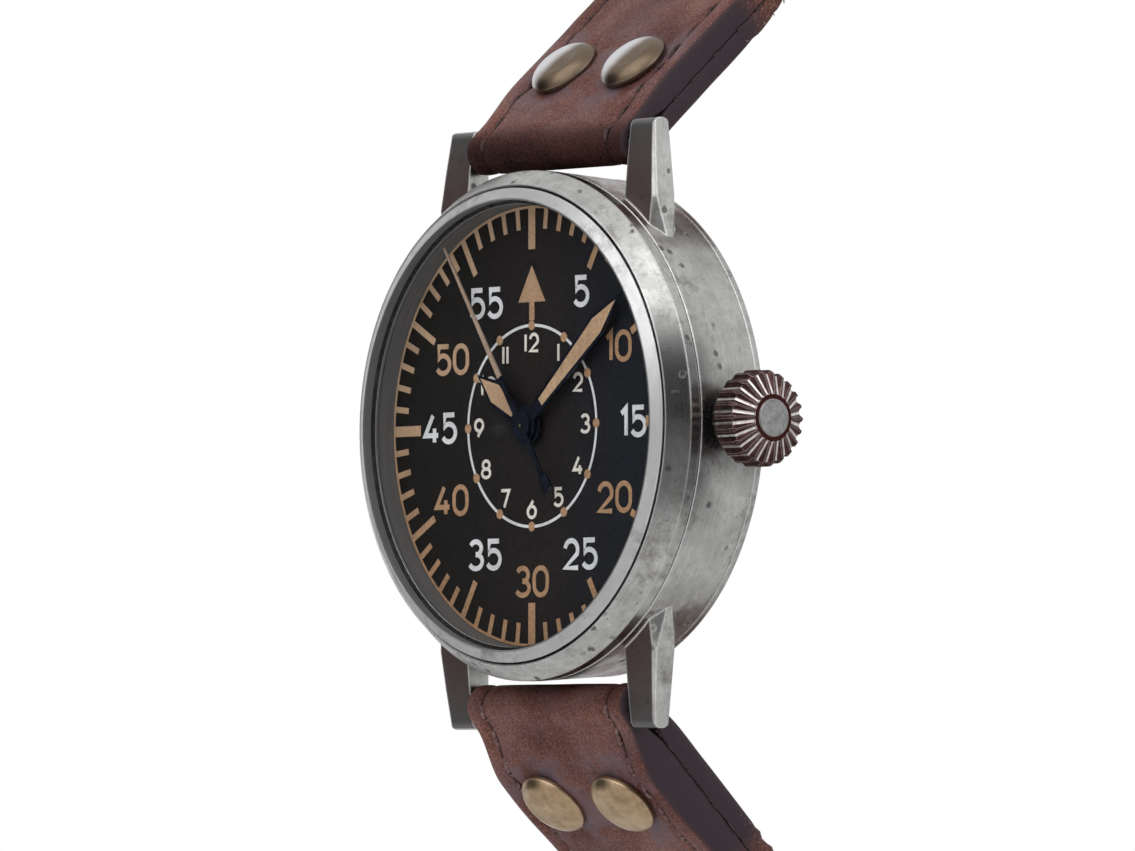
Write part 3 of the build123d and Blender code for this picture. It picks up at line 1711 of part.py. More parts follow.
def make_strap_12_upper():
    """The 12 o'clock half, which ends in a slotted fold round the buckle bar."""
    length = strap_12_length
    bend = strap_12_bend
    middle = (strap_body_thickness - lining_thickness) / 2

    def at(along, out):
        return strap_place(along, out, bend)

    lining_end = length - 2 * buckle_fold_radius
    end = [
        at(length, middle + buckle_fold_radius),
        at(length, middle - buckle_fold_radius),
        at(lining_end + lining_gap, -lining_thickness),
        at(lining_end + lining_gap, 0),
    ]
    upper = make_upper(length, bend, strap_12_front, strap_12_rear, end)
    fold = Circle(buckle_fold_radius)
    fold = extrude(Plane.YZ * fold, strap_end_width / 2, both=True)
    centre = at(length, middle)
    upper += Pos(0, *centre) * fold
    bore = Plane.YZ * Circle(buckle_bar_radius + running)
    upper -= Pos(0, *centre) * extrude(bore, strap_width, both=True)
    slot = Box(tongue_slot_width, 2 * tongue_slot_length, 4 * buckle_fold_radius)
    return upper - buckle_frame_plane() * slot


def make_strap_12_lining():
    """The lining of the 12 o'clock half."""
    slot_room = 2 * buckle_fold_radius
    lining = make_lining(strap_12_length, strap_12_bend, slot_room)
    slot = Box(tongue_slot_width, 2 * tongue_slot_length, 4 * buckle_fold_radius)
    return lining - buckle_frame_plane() * slot


def tail_tools():
    """The buckle holes and the trimmed corners of the 6 o'clock half's tail."""
    length = strap_6_length
    bend = strap_6_bend
    tools = []
    depth = 4 * strap_body_thickness
    for place in range(strap_hole_count):
        along = length - strap_hole_first - place * strap_hole_pitch
        hole = SlotOverall(strap_hole_length, 2 * strap_hole_radius, rotation=90)
        hole = extrude(hole, depth / 2, both=True)
        tools.append(strap_frame(along, 0, bend) * hole)
    point = strap_point_length
    for side in (-1, 1):
        points = []
        for across_share, back_share in strap_point_shares:
            across = side * strap_end_width / 2 * across_share
            points.append((across, -point * back_share))
        points.append((points[-1][0], point))
        points.append((side * strap_width, point))
        points.append((side * strap_width, -point))
        corner = extrude(flat(*points), depth / 2, both=True)
        tools.append(strap_frame(length, 0, bend) * corner)
    return tools


def make_strap_6_upper():
    """The 6 o'clock half, with seven buckle holes and a pointed tail."""
    length = strap_6_length
    bend = strap_6_bend
    end = [
        strap_place(length, strap_body_thickness, bend),
        strap_place(length, 0, bend),
    ]
    upper = make_upper(length, bend, strap_6_front, strap_6_rear, end)
    for tool in tail_tools():
        upper -= tool
    return Rot(0, 0, 180) * upper


def make_strap_6_lining():
    """The lining of the 6 o'clock half."""
    lining = make_lining(strap_6_length, strap_6_bend, 0)
    for tool in tail_tools():
        lining -= tool
    return Rot(0, 0, 180) * lining


def make_rivets(front, rear, bend):
    """Two button-headed rivets through the folded leather, each with a flat foot inside."""
    foot = -rear - rivet_foot_height
    rim_top = front + rivet_rim_height
    dome_top = rim_top + rivet_head_height
    outline = Polyline(
        (0, dome_top),
        (0, foot),
        (rivet_foot_radius, foot),
        (rivet_foot_radius, -rear),
        (rivet_shank_radius, -rear),
        (rivet_shank_radius, front),
        (rivet_head_radius, front),
        (rivet_head_radius, rim_top),
    )
    outline += button(rivet_head_radius, rim_top, rivet_head_height)
    rivet = revolve(Plane.XZ * make_face(outline), Axis.Z)
    pair = [Pos(side * rivet_spacing / 2) * rivet for side in (-1, 1)]
    return strap_frame(rivet_reach, 0, bend) * (pair[0] + pair[1])


def make_strap_12_rivets():
    return make_rivets(strap_12_front, strap_12_rear, strap_12_bend)


def make_strap_6_rivets():
    return Rot(0, 0, 180) * make_rivets(strap_6_front, strap_6_rear, strap_6_bend)


def make_spring_bars():
    """The two spring bars: each a tube with a shoulder and a thin tip at each end."""
    reach = lug_half_gap
    tip = reach + bar_tip_length
    bar = turned_along_x(
        (-tip, 0),
        (-tip, bar_tip_radius),
        (-reach + bar_shoulder, bar_tip_radius),
        (-reach + bar_shoulder, bar_radius),
        (reach - bar_shoulder, bar_radius),
        (reach - bar_shoulder, bar_tip_radius),
        (tip, bar_tip_radius),
        (tip, 0),
    )
    return Pos(0, bar_place, bar_height) * bar + Pos(0, -bar_place, bar_height) * bar


# The buckle and keepers


def make_buckle_bar():
    """The bar that the strap's end folds round, held in the buckle's ears."""
    length = buckle_width - 2 * snug
    bar = extrude(Plane.YZ * Circle(buckle_bar_radius), length / 2, both=True)
    return buckle_frame_plane() * bar


def make_buckle_frame():
    """The buckle: a rounded loop with two ears on the bar."""
    outer_length = buckle_length + buckle_ear
    outer_y = (buckle_length - buckle_ear) / 2
    corner = buckle_ear * buckle_corner_share
    shape = Pos(0, outer_y) * RectangleRounded(buckle_width, outer_length, corner)
    far = buckle_length - buckle_far_bar
    near = -buckle_ear - overrun
    window = Pos(0, (far + near) / 2) * Rectangle(buckle_window_width, far - near)
    frame = Pos(0, 0, -buckle_thickness / 2) * extrude(shape - window, buckle_thickness)
    edges = frame.edges().filter_by(Axis.X).group_by(Axis.Y)[-1]
    frame = fillet(edges, buckle_thickness * buckle_edge_share)
    bore = Plane.YZ * Circle(buckle_bar_radius + running)
    frame -= extrude(bore, buckle_width, both=True)
    return buckle_frame_plane() * frame


def make_buckle_tongue():
    """The tongue: a ring on the bar and a pin that rests on the buckle's far bar."""
    rest = buckle_thickness / 2 + snug
    reach = buckle_length + tongue_overhang
    blade = flat(
        (0, tongue_ring_radius),
        (buckle_length - buckle_far_bar, rest + tongue_thickness),
        (reach, rest + tongue_thickness * tongue_point_share),
        (reach, rest),
        (buckle_length - buckle_far_bar - tongue_thickness, rest),
        (tongue_ring_radius, -tongue_ring_radius * tongue_heel_share),
        (0, 0),
    )
    side = blade + Circle(tongue_ring_radius)
    side -= Circle(buckle_bar_radius + running)
    tongue = extrude(Plane.YZ * side, tongue_width / 2, both=True)
    return buckle_frame_plane() * tongue


def make_keeper(back_from_end):
    """A leather loop round the 12 o'clock half, tall enough for both strap ends."""
    along = strap_12_length - back_from_end
    inner_width = strap_width_at(along, strap_12_length) + 2 * keeper_side_gap
    low = -lining_thickness - loose
    inner = Rectangle(inner_width, keeper_height)
    outer = RectangleRounded(
        inner_width + 2 * keeper_wall, keeper_height + 2 * keeper_wall, keeper_wall
    )
    loop = Plane.XZ * (outer - inner)
    loop = extrude(loop, keeper_length / 2, both=True)
    middle = low + keeper_height / 2
    return strap_frame(along, middle, strap_12_bend) * loop


def make_fixed_keeper():
    return make_keeper(fixed_keeper_back)


def make_loose_keeper():
    return make_keeper(loose_keeper_back)


def stand_up(piece):
    """Turn a piece from the bench to its upright place."""
    return Rot(90, 0, 0) * piece


makers = [
    make_case_middle,
    make_case_back,
    make_case_back_gasket,
    make_bezel,
    make_crystal_ring,
    make_crystal_gasket,
    make_crystal,
    make_flange_ring,
    make_dial,
    make_hour_hand,
    make_hour_lume,
    make_minute_hand,
    make_minute_lume,
    make_second_hand,
    make_second_lume,
    make_crown,
    make_crown_gasket,
    make_crown_tube,
    make_winding_stem,
    make_winding_pinion,
    make_sliding_pinion,
    make_setting_lever,
    make_yoke,
    make_movement_ring,
    make_movement_clamps,
    make_mainplate,
    make_barrel_bridge,
    make_train_bridge,
    make_balance_cock,
    make_pallet_bridge,
    make_movement_screws,
    make_jewels,
    make_barrel,
    make_mainspring,
    make_barrel_arbor,
    make_ratchet_wheel,
    make_click,
    make_crown_wheel,
    make_centre_wheel,
    make_third_wheel,
    make_fourth_wheel,
    make_escape_wheel,
    make_pallet_fork,
    make_balance_wheel,
    make_hairspring,
    make_cannon_pinion,
    make_minute_wheel,
    make_hour_wheel,
    make_spring_bars,
    make_strap_12_upper,
    make_strap_12_lining,
    make_strap_12_rivets,
    make_strap_6_upper,
    make_strap_6_lining,
    make_strap_6_rivets,
    make_fixed_keeper,
    make_loose_keeper,
    make_buckle_bar,
    make_buckle_frame,
    make_buckle_tongue,
]


def save_all():
    """Build every piece, stand it up and write it to its own file."""
    os.makedirs("parts", exist_ok=True)
    for maker in makers:
        name = maker.__name__.removeprefix("make_")
        export_step(stand_up(maker()), "parts/" + name + ".step")


save_all()
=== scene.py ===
# %% [markdown]
# # A pilot watch on a riveted leather strap
#
# The CAD model gives the hard parts of the watch. This lesson gives each part the finish
# of the real one, prints the dial, and makes the soft parts that CAD draws only roughly:
# the folded leather strap, its stitches and its keepers. The watch stands upright, with
# 12 o'clock up (+Z), the dial facing -Y and the crown at +X. Blender works in metres, and
# a watchmaker thinks in millimetres, so sizes are written in millimetres and multiplied
# once by `mm`.

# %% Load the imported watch
import math
import random

import bpy
from mathutils import Matrix, Vector, noise


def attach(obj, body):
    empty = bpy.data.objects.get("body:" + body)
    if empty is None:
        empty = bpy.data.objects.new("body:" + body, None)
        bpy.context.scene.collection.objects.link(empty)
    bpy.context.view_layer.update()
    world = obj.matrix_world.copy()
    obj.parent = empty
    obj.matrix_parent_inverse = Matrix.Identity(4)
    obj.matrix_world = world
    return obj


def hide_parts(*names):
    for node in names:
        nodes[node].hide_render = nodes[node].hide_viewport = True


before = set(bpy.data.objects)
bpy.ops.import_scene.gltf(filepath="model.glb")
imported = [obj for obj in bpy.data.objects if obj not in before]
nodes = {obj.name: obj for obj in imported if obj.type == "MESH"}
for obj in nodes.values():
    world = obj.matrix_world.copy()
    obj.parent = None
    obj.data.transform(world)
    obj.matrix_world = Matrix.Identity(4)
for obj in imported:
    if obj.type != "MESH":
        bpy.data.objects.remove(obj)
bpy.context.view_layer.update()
scene = bpy.context.scene
mm = 0.001
print("nodes in the packed watch:", len(nodes))

# %% [markdown]
# ## The camera
#
# The picture is taken with a long lens from the 3 o'clock side. The round dial looks like
# an ellipse there: how narrow it is gives the angle, and the lugs give the distance. Three
# unit directions aim the camera, because they also keep the picture's slight roll.

# %% Camera
lens = bpy.data.cameras.new("long_lens")
lens.sensor_width = 36.0
lens.lens = 322.67
lens.clip_start = 0.05
lens.clip_end = 30.0
camera = bpy.data.objects.new("camera", lens)
camera_right = Vector((0.63841, 0.76969, 0.0))
camera_up = Vector((0.02888, -0.02395, 0.99930))
camera_back = Vector((0.76915, -0.63796, -0.03752))
camera_turn = Matrix((camera_right, camera_up, camera_back)).transposed().to_4x4()
camera_spot = Vector((645.18, -539.74, -31.35)) * mm
camera.matrix_world = Matrix.Translation(camera_spot) @ camera_turn
scene.collection.objects.link(camera)
scene.camera = camera
scene.view_settings.view_transform = "Standard"
print("camera distance in mm:", round(camera_spot.length / mm))

# %% [markdown]
# ## Small node helpers
#
# A material is a chain of nodes that hand values to each other through sockets. The first
# helpers fill a socket and add a node beside any other part of its chain. The rest are
# the words of this lesson: sums, colours from greys, cloudy grain, raised greys.

# %% Node helpers
def rgba(tone):
    """A colour, or a grey, with the fourth number that colour sockets ask for."""
    return (*tone, 1.0) if isinstance(tone, tuple) else (tone, tone, tone, 1.0)


def fill(socket, value):
    """Link a socket to another one, or give it a plain value."""
    if isinstance(value, bpy.types.NodeSocket):
        socket.id_data.links.new(value, socket)
    else:
        socket.default_value = rgba(value) if socket.type == "RGBA" else value


def plug(node, **values):
    """Fill the sockets that the names spell, with _ for a space."""
    for name, value in values.items():
        fill(node.inputs[name.replace("_", " ")], value)


def add_node(near, kind, *inputs, **values):
    """Add a node; a name that is no socket's is an option, and inputs fill in order."""
    node = near.id_data.nodes.new(kind)
    for name, value in values.items():
        if node.inputs.get(name.replace("_", " ")) is None:
            setattr(node, name, value)
        else:
            plug(node, **{name: value})
    for socket, value in zip(node.inputs, inputs):
        fill(socket, value)
    return node


def sums(operation, first, second=0.0):
    """One sum on grey values."""
    near = first if isinstance(first, bpy.types.NodeSocket) else second
    return add_node(near, "ShaderNodeMath", first, second, operation=operation).outputs[0]


def plus(first, second):
    """Two greys added."""
    return sums("ADD", first, second)


def minus(first, second):
    """The second grey taken from the first."""
    return sums("SUBTRACT", first, second)


def times(first, *others):
    """Greys multiplied one after the other."""
    for other in others:
        first = sums("MULTIPLY", first, other)
    return first


def directions(operation, first, second=(0.0, 0.0, 0.0)):
    """One sum on colours or directions."""
    return add_node(first, "ShaderNodeVectorMath", first, second, operation=operation).outputs[0]


def leaning(place, way):
    """How far a place lies, or a direction leans, along a way."""
    return add_node(place, "ShaderNodeVectorMath", place, way, operation="DOT_PRODUCT").outputs["Value"]


def parts(place, names="XYZ"):
    """The coordinates of a place, or the named ones of them."""
    node = add_node(place, "ShaderNodeSeparateXYZ", place)
    return [node.outputs[name] for name in names]


def from_axis(first, second):
    """The distance from the axis that two coordinates are measured from."""
    return sums("POWER", plus(times(first, first), times(second, second)), 0.5)


def between(value, low, high, curve="LINEAR"):
    """A grey that climbs from 0 at low to 1 at high; low may be the larger one."""
    node = add_node(value, "ShaderNodeMapRange", value, low, high, interpolation_type=curve)
    return node.outputs["Result"]


def ramp(grey, *stops):
    """Turn a grey value into colours; each stop is a place and a colour or a grey."""
    node = add_node(grey, "ShaderNodeValToRGB", grey)
    elements = node.color_ramp.elements
    while len(elements) < len(stops):
        elements.new(0.5)
    for element, (place, tone) in zip(elements, stops):
        element.position = place
        element.color = rgba(tone)
    return node.outputs["Color"]


def blend(factor, low, high):
    """Mix two colours or greys by a grey value."""
    node = add_node(factor, "ShaderNodeMix", data_type="RGBA")
    for name, value in (("Factor", factor), ("A", low), ("B", high)):
        fill([s for s in node.inputs if s.name == name and s.enabled][0], value)
    return [s for s in node.outputs if s.enabled][0]


def grain(place, size, detail=3.0, roughness=0.55):
    """Cloudy noise whose blotches are about size millimetres wide."""
    noise_scale = 1 / (size * mm)
    node = add_node(
        place, "ShaderNodeTexNoise", Vector=place, Scale=noise_scale, Detail=detail, Roughness=roughness,
    )
    return node.outputs["Fac"]


def surface(near):
    """What the surface knows of itself, such as its Normal."""
    return add_node(near, "ShaderNodeNewGeometry").outputs


def fed(shader, name):
    """The socket that already feeds one of the shader's own."""
    return shader.inputs[name].links[0].from_socket


def raised(shader, height, depth, strength=1.0):
    """Let a grey value stand up from the surface by depth millimetres."""
    bump = add_node(shader, "ShaderNodeBump", Height=height, Strength=strength, Distance=depth * mm)
    if shader.inputs["Normal"].links:
        plug(bump, Normal=fed(shader, "Normal"))
    plug(shader, Normal=bump.outputs["Normal"])


finishes = {}


def new_finish(name, **values):
    """Start a material, keep it by its name, and return the object's place and the shader."""
    material = bpy.data.materials.new(name)
    material.use_nodes = True
    shader = material.node_tree.nodes["Principled BSDF"]
    plug(shader, **values)
    finishes[name] = material
    return add_node(shader, "ShaderNodeTexCoord").outputs["Object"], shader


print("node helpers ready")

# %% [markdown]
# ## White studio
#
# The photograph has a clean white ground and no table. The world is white only where the
# camera looks straight at it. The light that falls on the watch is a calmer grey, so
# colours keep their depth. Metal shows what it mirrors, so mirrors see a studio with dark
# cloths: one at the left keeps the crystal clear and darkens the fronts of the lugs, one
# right of the camera darkens the bezel beside the crown, and one stands for a table below.

# %% World
world = bpy.data.worlds.new("white_studio")
world.use_nodes = True
scene.world = world
sky = world.node_tree
sky.nodes.clear()
direction = add_node(sky, "ShaderNodeTexCoord").outputs["Generated"]


def cloth(toward, inner, outer, darkest):
    """A black cloth in the studio: dark within inner of a direction, gone at outer."""
    near = leaning(direction, Vector(toward).normalized())
    reach = add_node(near, "ShaderNodeMapRange", near, outer, inner, 1.0, darkest)
    return reach.outputs["Result"]


def either(switch, off, on):
    """Show the shader on where the switch is 1, and off elsewhere."""
    return add_node(switch, "ShaderNodeMixShader", switch, off.outputs[0], on.outputs[0])


left_cloth = Vector((-0.77, -0.64, 0.04)).normalized()
left_cloth_inner = 0.94
left_cloth_outer = 0.84
cloths = [
    cloth(left_cloth, left_cloth_inner, left_cloth_outer, 0.02),
    cloth((0.86, -0.52, 0.04), 0.93, 0.78, 0.02),
    cloth((0.0, 0.0, -1.0), 0.95, 0.35, 0.35),
]
mirrored = add_node(sky, "ShaderNodeBackground", Color=times(*cloths), Strength=0.85)
falling = add_node(sky, "ShaderNodeBackground", Color=1.0, Strength=0.5)
ground = add_node(sky, "ShaderNodeBackground", Color=1.0, Strength=1.0)
ray = add_node(sky, "ShaderNodeLightPath").outputs
seen = sums("MAXIMUM", ray["Is Camera Ray"], ray["Is Transmission Ray"])
lit = either(ray["Is Glossy Ray"], falling, mirrored)
add_node(sky, "ShaderNodeOutputWorld", Surface=either(seen, lit, ground).outputs[0])
print("cloths in the studio:", len(cloths))

# %% [markdown]
# ## Lamps and floor
#
# Two large soft lamps shape the leather and the steel: a wide one high in front, and a
# weaker one from the 3 o'clock side. The pale floor takes the shadow. It lies below the
# photograph's frame, and so low that the long half of the strap can hang straight down.
# The left cloth of the studio reaches down to it: only mirrored rays see it there.

# %% Lamps and floor
def soft_lamp(name, place, size, power):
    """A square lamp that looks at the middle of the watch."""
    lamp = bpy.data.lights.new(name, "AREA")
    lamp.size = size
    lamp.energy = power
    holder = bpy.data.objects.new(name, lamp)
    holder.location = place
    holder.rotation_mode = "QUATERNION"
    holder.rotation_quaternion = (-Vector(place)).to_track_quat("-Z", "Y")
    scene.collection.objects.link(holder)


soft_lamp("front_lamp", (0.15, -0.75, 0.75), size=1.2, power=5.2)
soft_lamp("side_lamp", (0.95, 0.05, 0.45), size=0.9, power=3.2)
floor_height = -0.125
floor_half = 4.0
floor_mesh = bpy.data.meshes.new("floor")
corners = [(-1, -1), (1, -1), (1, 1), (-1, 1)]
spots = [(floor_half * x, floor_half * y, floor_height) for x, y in corners]
floor_mesh.from_pydata(spots, [], [(0, 1, 2, 3)])
floor = bpy.data.objects.new("floor", floor_mesh)
scene.collection.objects.link(floor)
spot, shader = new_finish("pale_floor", Roughness=0.8)
tint = ramp(grain(spot, 60.0), (0.3, 0.86), (0.7, 0.9))
under_cloth = between(leaning(directions("NORMALIZE", spot), left_cloth), left_cloth_outer, left_cloth_inner)
hidden = times(under_cloth, add_node(spot, "ShaderNodeLightPath").outputs["Is Glossy Ray"])
plug(shader, Base_Color=blend(hidden, tint, 0.02))
floor.data.materials.append(finishes["pale_floor"])
print("floor height in mm:", floor_height / mm)

# %% [markdown]
# ## Aged brushed steel
#
# The case was brushed and then aged in a tumbler: it has soft brush lines, cloudy stains
# and small dark pits. The lines are noise that is stretched round the watch's axis, so
# each blotch becomes a scratch. The pits are the middles of a few cells of a cell
# pattern. A bevel node finds the edges, where handling polishes the steel bright.

# %% Steel patterns
def turned_place(spot, around, across):
    """A place that is stretched round the Y axis: angle, radius and height."""
    x, y, z = parts(spot)
    angle = times(sums("ARCTAN2", z, x), around * mm)
    radius = times(from_axis(x, z), across)
    return add_node(spot, "ShaderNodeCombineXYZ", angle, radius, times(y, across)).outputs[0]


def slanting_place(spot, turn):
    """A place turned and drawn out, so that noise becomes short slanting marks."""
    lean = add_node(spot, "ShaderNodeMapping", Vector=spot, Rotation=turn, Scale=(1.0, 5.0, 1.0))
    return lean.outputs["Vector"]


def edge_polish(shader, radius, least=0.0, gain=6.0):
    """Round the sharp edges for the light, and return a grey that is 1 on them."""
    bevel = add_node(shader, "ShaderNodeBevel", samples=6, Radius=radius * mm).outputs[0]
    plug(shader, Normal=bevel)
    turned = minus(1.0 - least, leaning(bevel, surface(shader)["Normal"]))
    return sums("MINIMUM", sums("MAXIMUM", times(turned, gain), 0.0), 1.0)


def pits(spot, cell, share):
    """Greys for small pits in clusters: their dark rim and their paler middle."""
    warp = times(grain(spot, 0.35, 5.0, 0.7), 0.42)
    cells = add_node(spot, "ShaderNodeTexVoronoi", Vector=spot, Scale=1 / (cell * mm)).outputs
    reach = plus(cells["Distance"], warp)
    chosen = add_node(spot, "ShaderNodeSeparateColor", cells["Color"]).outputs[0]
    cluster = ramp(grain(spot, 9.0, 2.0), (0.42, 0.25), (0.58, 1.0))
    few = sums("LESS_THAN", chosen, times(cluster, share))
    disc = ramp(reach, (0.33, 1.0), (0.46, 0.0))
    middle = ramp(reach, (0.24, 1.0), (0.32, 0.0))
    return times(disc, few), times(middle, few)


print("steel patterns ready")

# %% [markdown]
# ## Stains and painted shade on the case
#
# Two dark places lie on the case: the sooty flat fronts of the lugs, with brown
# beside their roots, and painted shade on the side of the case and the bezel's slope
# beside the crown. Each is a product of greys that ask one thing each: where a point
# lies, or which way it faces.

# %% Stains
case_radius = 21.0


def lug_stains(spot):
    """Greys for the dark fronts of the lugs and the brown beside their roots."""
    x, z = parts(spot, "XZ")
    own_face = add_node(
        spot, "ShaderNodeVectorTransform", surface(spot)["Normal"],
        vector_type="NORMAL", convert_from="WORLD", convert_to="OBJECT",
    )
    sideways, facing = parts(own_face.outputs["Vector"], "XY")
    patches = times(minus(grain(spot, 1.6, 5.0), 0.5), 2.0)
    far = plus(times(sums("ABSOLUTE", z), 1 / mm), patches)
    lug = between(far, 15.2, 16.2)
    front = between(facing, -0.45, -0.62)
    flat = between(sums("ABSOLUTE", sideways), 0.50, 0.35)
    outside = between(from_axis(x, z), case_radius * mm, (case_radius + 0.15) * mm)
    soot = times(lug, front, flat, outside, 0.95)
    tip = between(far, 20.0, 24.5)
    soot_colour = blend(tip, (0.058, 0.033, 0.032), (0.056, 0.052, 0.052))
    near = between(plus(far, patches), 14.5, 17.5)
    rust = ramp(grain(spot, 2.2, 5.0), (0.40, 0.15), (0.56, 0.85))
    turned = between(facing, -0.35, -0.15)
    body = times(minus(1.0, outside), between(facing, 0.7, 0.4))
    return soot, soot_colour, times(near, rust, turned, body)


def crown_shade(spot):
    """A grey for painted shade: 1 on the side of the case and the bezel's slope beside the crown."""
    x, y, z = parts(spot)
    above = sums("ABSOLUTE", plus(z, 0.5 * mm))
    near = between(above, 11.0 * mm, 4.0 * mm, "SMOOTHSTEP")
    right = between(x, 14.0 * mm, 18.0 * mm)
    slope = between(y, -4.2 * mm, -8.4 * mm, "SMOOTHSTEP")
    close = between(above, 6.0 * mm, 2.0 * mm, "SMOOTHSTEP")
    return times(near, right, sums("MAXIMUM", slope, times(close, 0.7)), 0.8)


print("stains ready")

# %% [markdown]
# ## Three steels
#
# The case, the buckle and the ring round the crystal share one recipe and differ in tone,
# in how matt they are and in how much brushing shows. The ring has no pits. Its inner
# wall faces the middle of the watch and was never polished: it is dark and matt, which
# keeps the crystal's edge clean.

# %% Steel
def aged_steel(name, dark, light, roughness, brush, pitted=0.55):
    """Steel with brush marks, clouds, stains, pits and bright edges."""
    spot, shader = new_finish(name, Metallic=1.0)
    worn = edge_polish(shader, 0.25)
    clouds = grain(spot, 2.6, 7.0, 0.72)
    turned_lines = times(grain(turned_place(spot, 2.0, 14.0), 1.0, 4.0), 0.45)
    slants = times(grain(slanting_place(spot, (0.5, 0.7, 0.3)), 1.1, 4.0), 0.55)
    lines = plus(turned_lines, slants)
    metal = plus(times(clouds, 1 - brush), times(lines, brush))
    colour = ramp(metal, (0.34, dark), (0.62, light))
    blotch = ramp(grain(spot, 5.0, 6.0, 0.75), (0.53, 0.0), (0.68, 0.7))
    colour = blend(blotch, colour, (0.10, 0.075, 0.07))
    rim, middle = pits(spot, 1.5, pitted)
    specks = ramp(grain(spot, 0.35, 3.0), (0.66, 0.0), (0.74, 0.6 if pitted else 0.0))
    colour = blend(specks, colour, (0.05, 0.045, 0.042))
    colour = blend(times(rim, 0.8), colour, (0.045, 0.04, 0.038))
    colour = blend(times(middle, 0.12), colour, light)
    if name == "brushed_case_steel":
        soot, soot_colour, brown = lug_stains(spot)
        # painted shade on the case side and the bezel beside the crown
        colour = blend(crown_shade(spot), colour, (0.055, 0.055, 0.054))
        colour = blend(brown, colour, (0.15, 0.075, 0.065))
        colour = blend(soot, colour, soot_colour)
        bare = minus(1.0, soot)
        rim = times(rim, bare)
        plug(shader, Metallic=bare)
    colour = blend(times(worn, 0.8), colour, (0.86, 0.85, 0.84))
    matt = ramp(metal, (0.3, roughness + 0.08), (0.7, roughness - 0.06))
    plug(shader, Base_Color=colour, Roughness=plus(matt, times(rim, 0.15)))
    raised(shader, minus(1.0, rim), 0.03)
    raised(shader, lines, 0.004, 0.5)
    raised(shader, clouds, 0.03, 0.15)
    return spot, shader


aged_steel("brushed_case_steel", (0.32, 0.32, 0.315), (0.58, 0.58, 0.57), 0.28, 0.4)
aged_steel("buckle_steel", (0.28, 0.28, 0.27), (0.55, 0.55, 0.54), 0.28, 0.3)
spot, shader = aged_steel("polished_ring_steel", 0.44, 0.54, 0.30, 0.6, 0.0)
outward = directions("NORMALIZE", directions("MULTIPLY", spot, (1.0, 0.0, 1.0)))
inner_wall = between(leaning(outward, surface(spot)["Normal"]), -0.3, -0.6)
tone = blend(inner_wall, fed(shader, "Base Color"), 0.15)
matt = blend(inner_wall, fed(shader, "Roughness"), 0.7)
plug(shader, Base_Color=tone, Roughness=matt, Metallic=minus(1.0, inner_wall))
print("finishes so far:", sorted(finishes))

# %% [markdown]
# ## The crown
#
# The onion-shaped crown has 22 flutes. Skin oil and dust collect in the reddish brown
# valleys, while the crests are rubbed to thin bright lines. The distance from the crown's
# own axis and the angle round it come from the object's place, so the dirt stays in the
# valleys when the crown turns. A dark ring and a grey cap fill the middle of its front.

# %% Crown
crown_axis_y = -4.65 * mm
crown_flutes = 22
cap_radius = 1.52 * mm
ring_radius = 1.93 * mm
spot, shader = new_finish("crown_steel", Metallic=1.0)
worn = edge_polish(shader, 0.12, 0.04, 8.0)
y, z = parts(spot, "YZ")
across = minus(y, crown_axis_y)
radius = from_axis(across, z)
angle = times(sums("ARCTAN2", z, across), float(crown_flutes))
ridge = times(plus(sums("COSINE", angle), 1.0), 0.5)
width = times(radius, radius, 0.1 / mm**2)
smear = times(minus(grain(spot, 0.8, 4.0), 0.5), 0.15)
dirt = plus(times(ridge, width), smear)
grime = ramp(grain(spot, 0.7, 5.0), (0.3, (0.034, 0.018, 0.017)), (0.7, (0.125, 0.066, 0.060)))
bright = ramp(grain(spot, 0.5, 4.0), (0.3, (0.50, 0.44, 0.43)), (0.7, (0.86, 0.82, 0.81)))
colour = blend(ramp(dirt, (0.09, 0.0), (0.20, 1.0)), bright, grime)
cap = ramp(grain(spot, 0.6, 5.0), (0.3, (0.20, 0.205, 0.20)), (0.7, (0.36, 0.365, 0.36)))
colour = blend(sums("LESS_THAN", radius, ring_radius), colour, (0.045, 0.014, 0.012))
colour = blend(sums("LESS_THAN", radius, cap_radius), colour, cap)
colour = blend(times(worn, 0.4), colour, (0.85, 0.80, 0.78))
plug(shader, Base_Color=colour, Roughness=ramp(dirt, (0.3, 0.3), (0.8, 0.55)))
raised(shader, grain(spot, 0.4, 4.0), 0.04, 0.4)
print("crown flutes:", crown_flutes)

# %% [markdown]
# ## Crystal
#
# The crystal is clear sapphire. A slab of glass in a renderer blocks the lamps and leaves
# the dial dark, so it is made as a clear film that mirrors a little, and more where it is
# seen edge on, as glass does. A Fresnel node gives that share.

# %% Crystal
spot, shader = new_finish("crystal_glass", Metallic=1.0, Roughness=0.03)
mirror = add_node(spot, "ShaderNodeFresnel", IOR=1.45).outputs[0]
film = times(mirror, minus(0.35, surface(spot)["Backfacing"]))
streak = ramp(grain(spot, 9.0, 2.0), (0.4, 0.93), (0.6, 1.0))
plug(shader, Base_Color=streak, Alpha=sums("MAXIMUM", film, 0.0))
print("crystal is a clear film")

# %% [markdown]
# ## Dial, hands and their paint
#
# The dial is matt black, a little brown at the middle and a little blue towards 3
# o'clock, with a fine tooth. The hands are black enamel, filled with the tan paint that
# an old luminous filling turns to. The paint has a sandy grain and darker freckles, and
# the printed tan is paler towards the upper left.

# %% Dial and hand finishes
spot, shader = new_finish("dial_black", Roughness=0.62, Specular_IOR_Level=0.25)
tint = ramp(
    between(*parts(spot, "X"), -10 * mm, 14 * mm),
    (0.1, (0.0075, 0.0065, 0.006)), (0.5, (0.012, 0.0085, 0.0085)), (0.85, (0.006, 0.0075, 0.013)),
)
freckle = ramp(grain(spot, 0.25, 4.0), (0.35, 0.6), (0.75, 1.5))
plug(shader, Base_Color=directions("MULTIPLY", tint, freckle))
raised(shader, grain(spot, 0.12, 3.0), 0.01, 0.5)

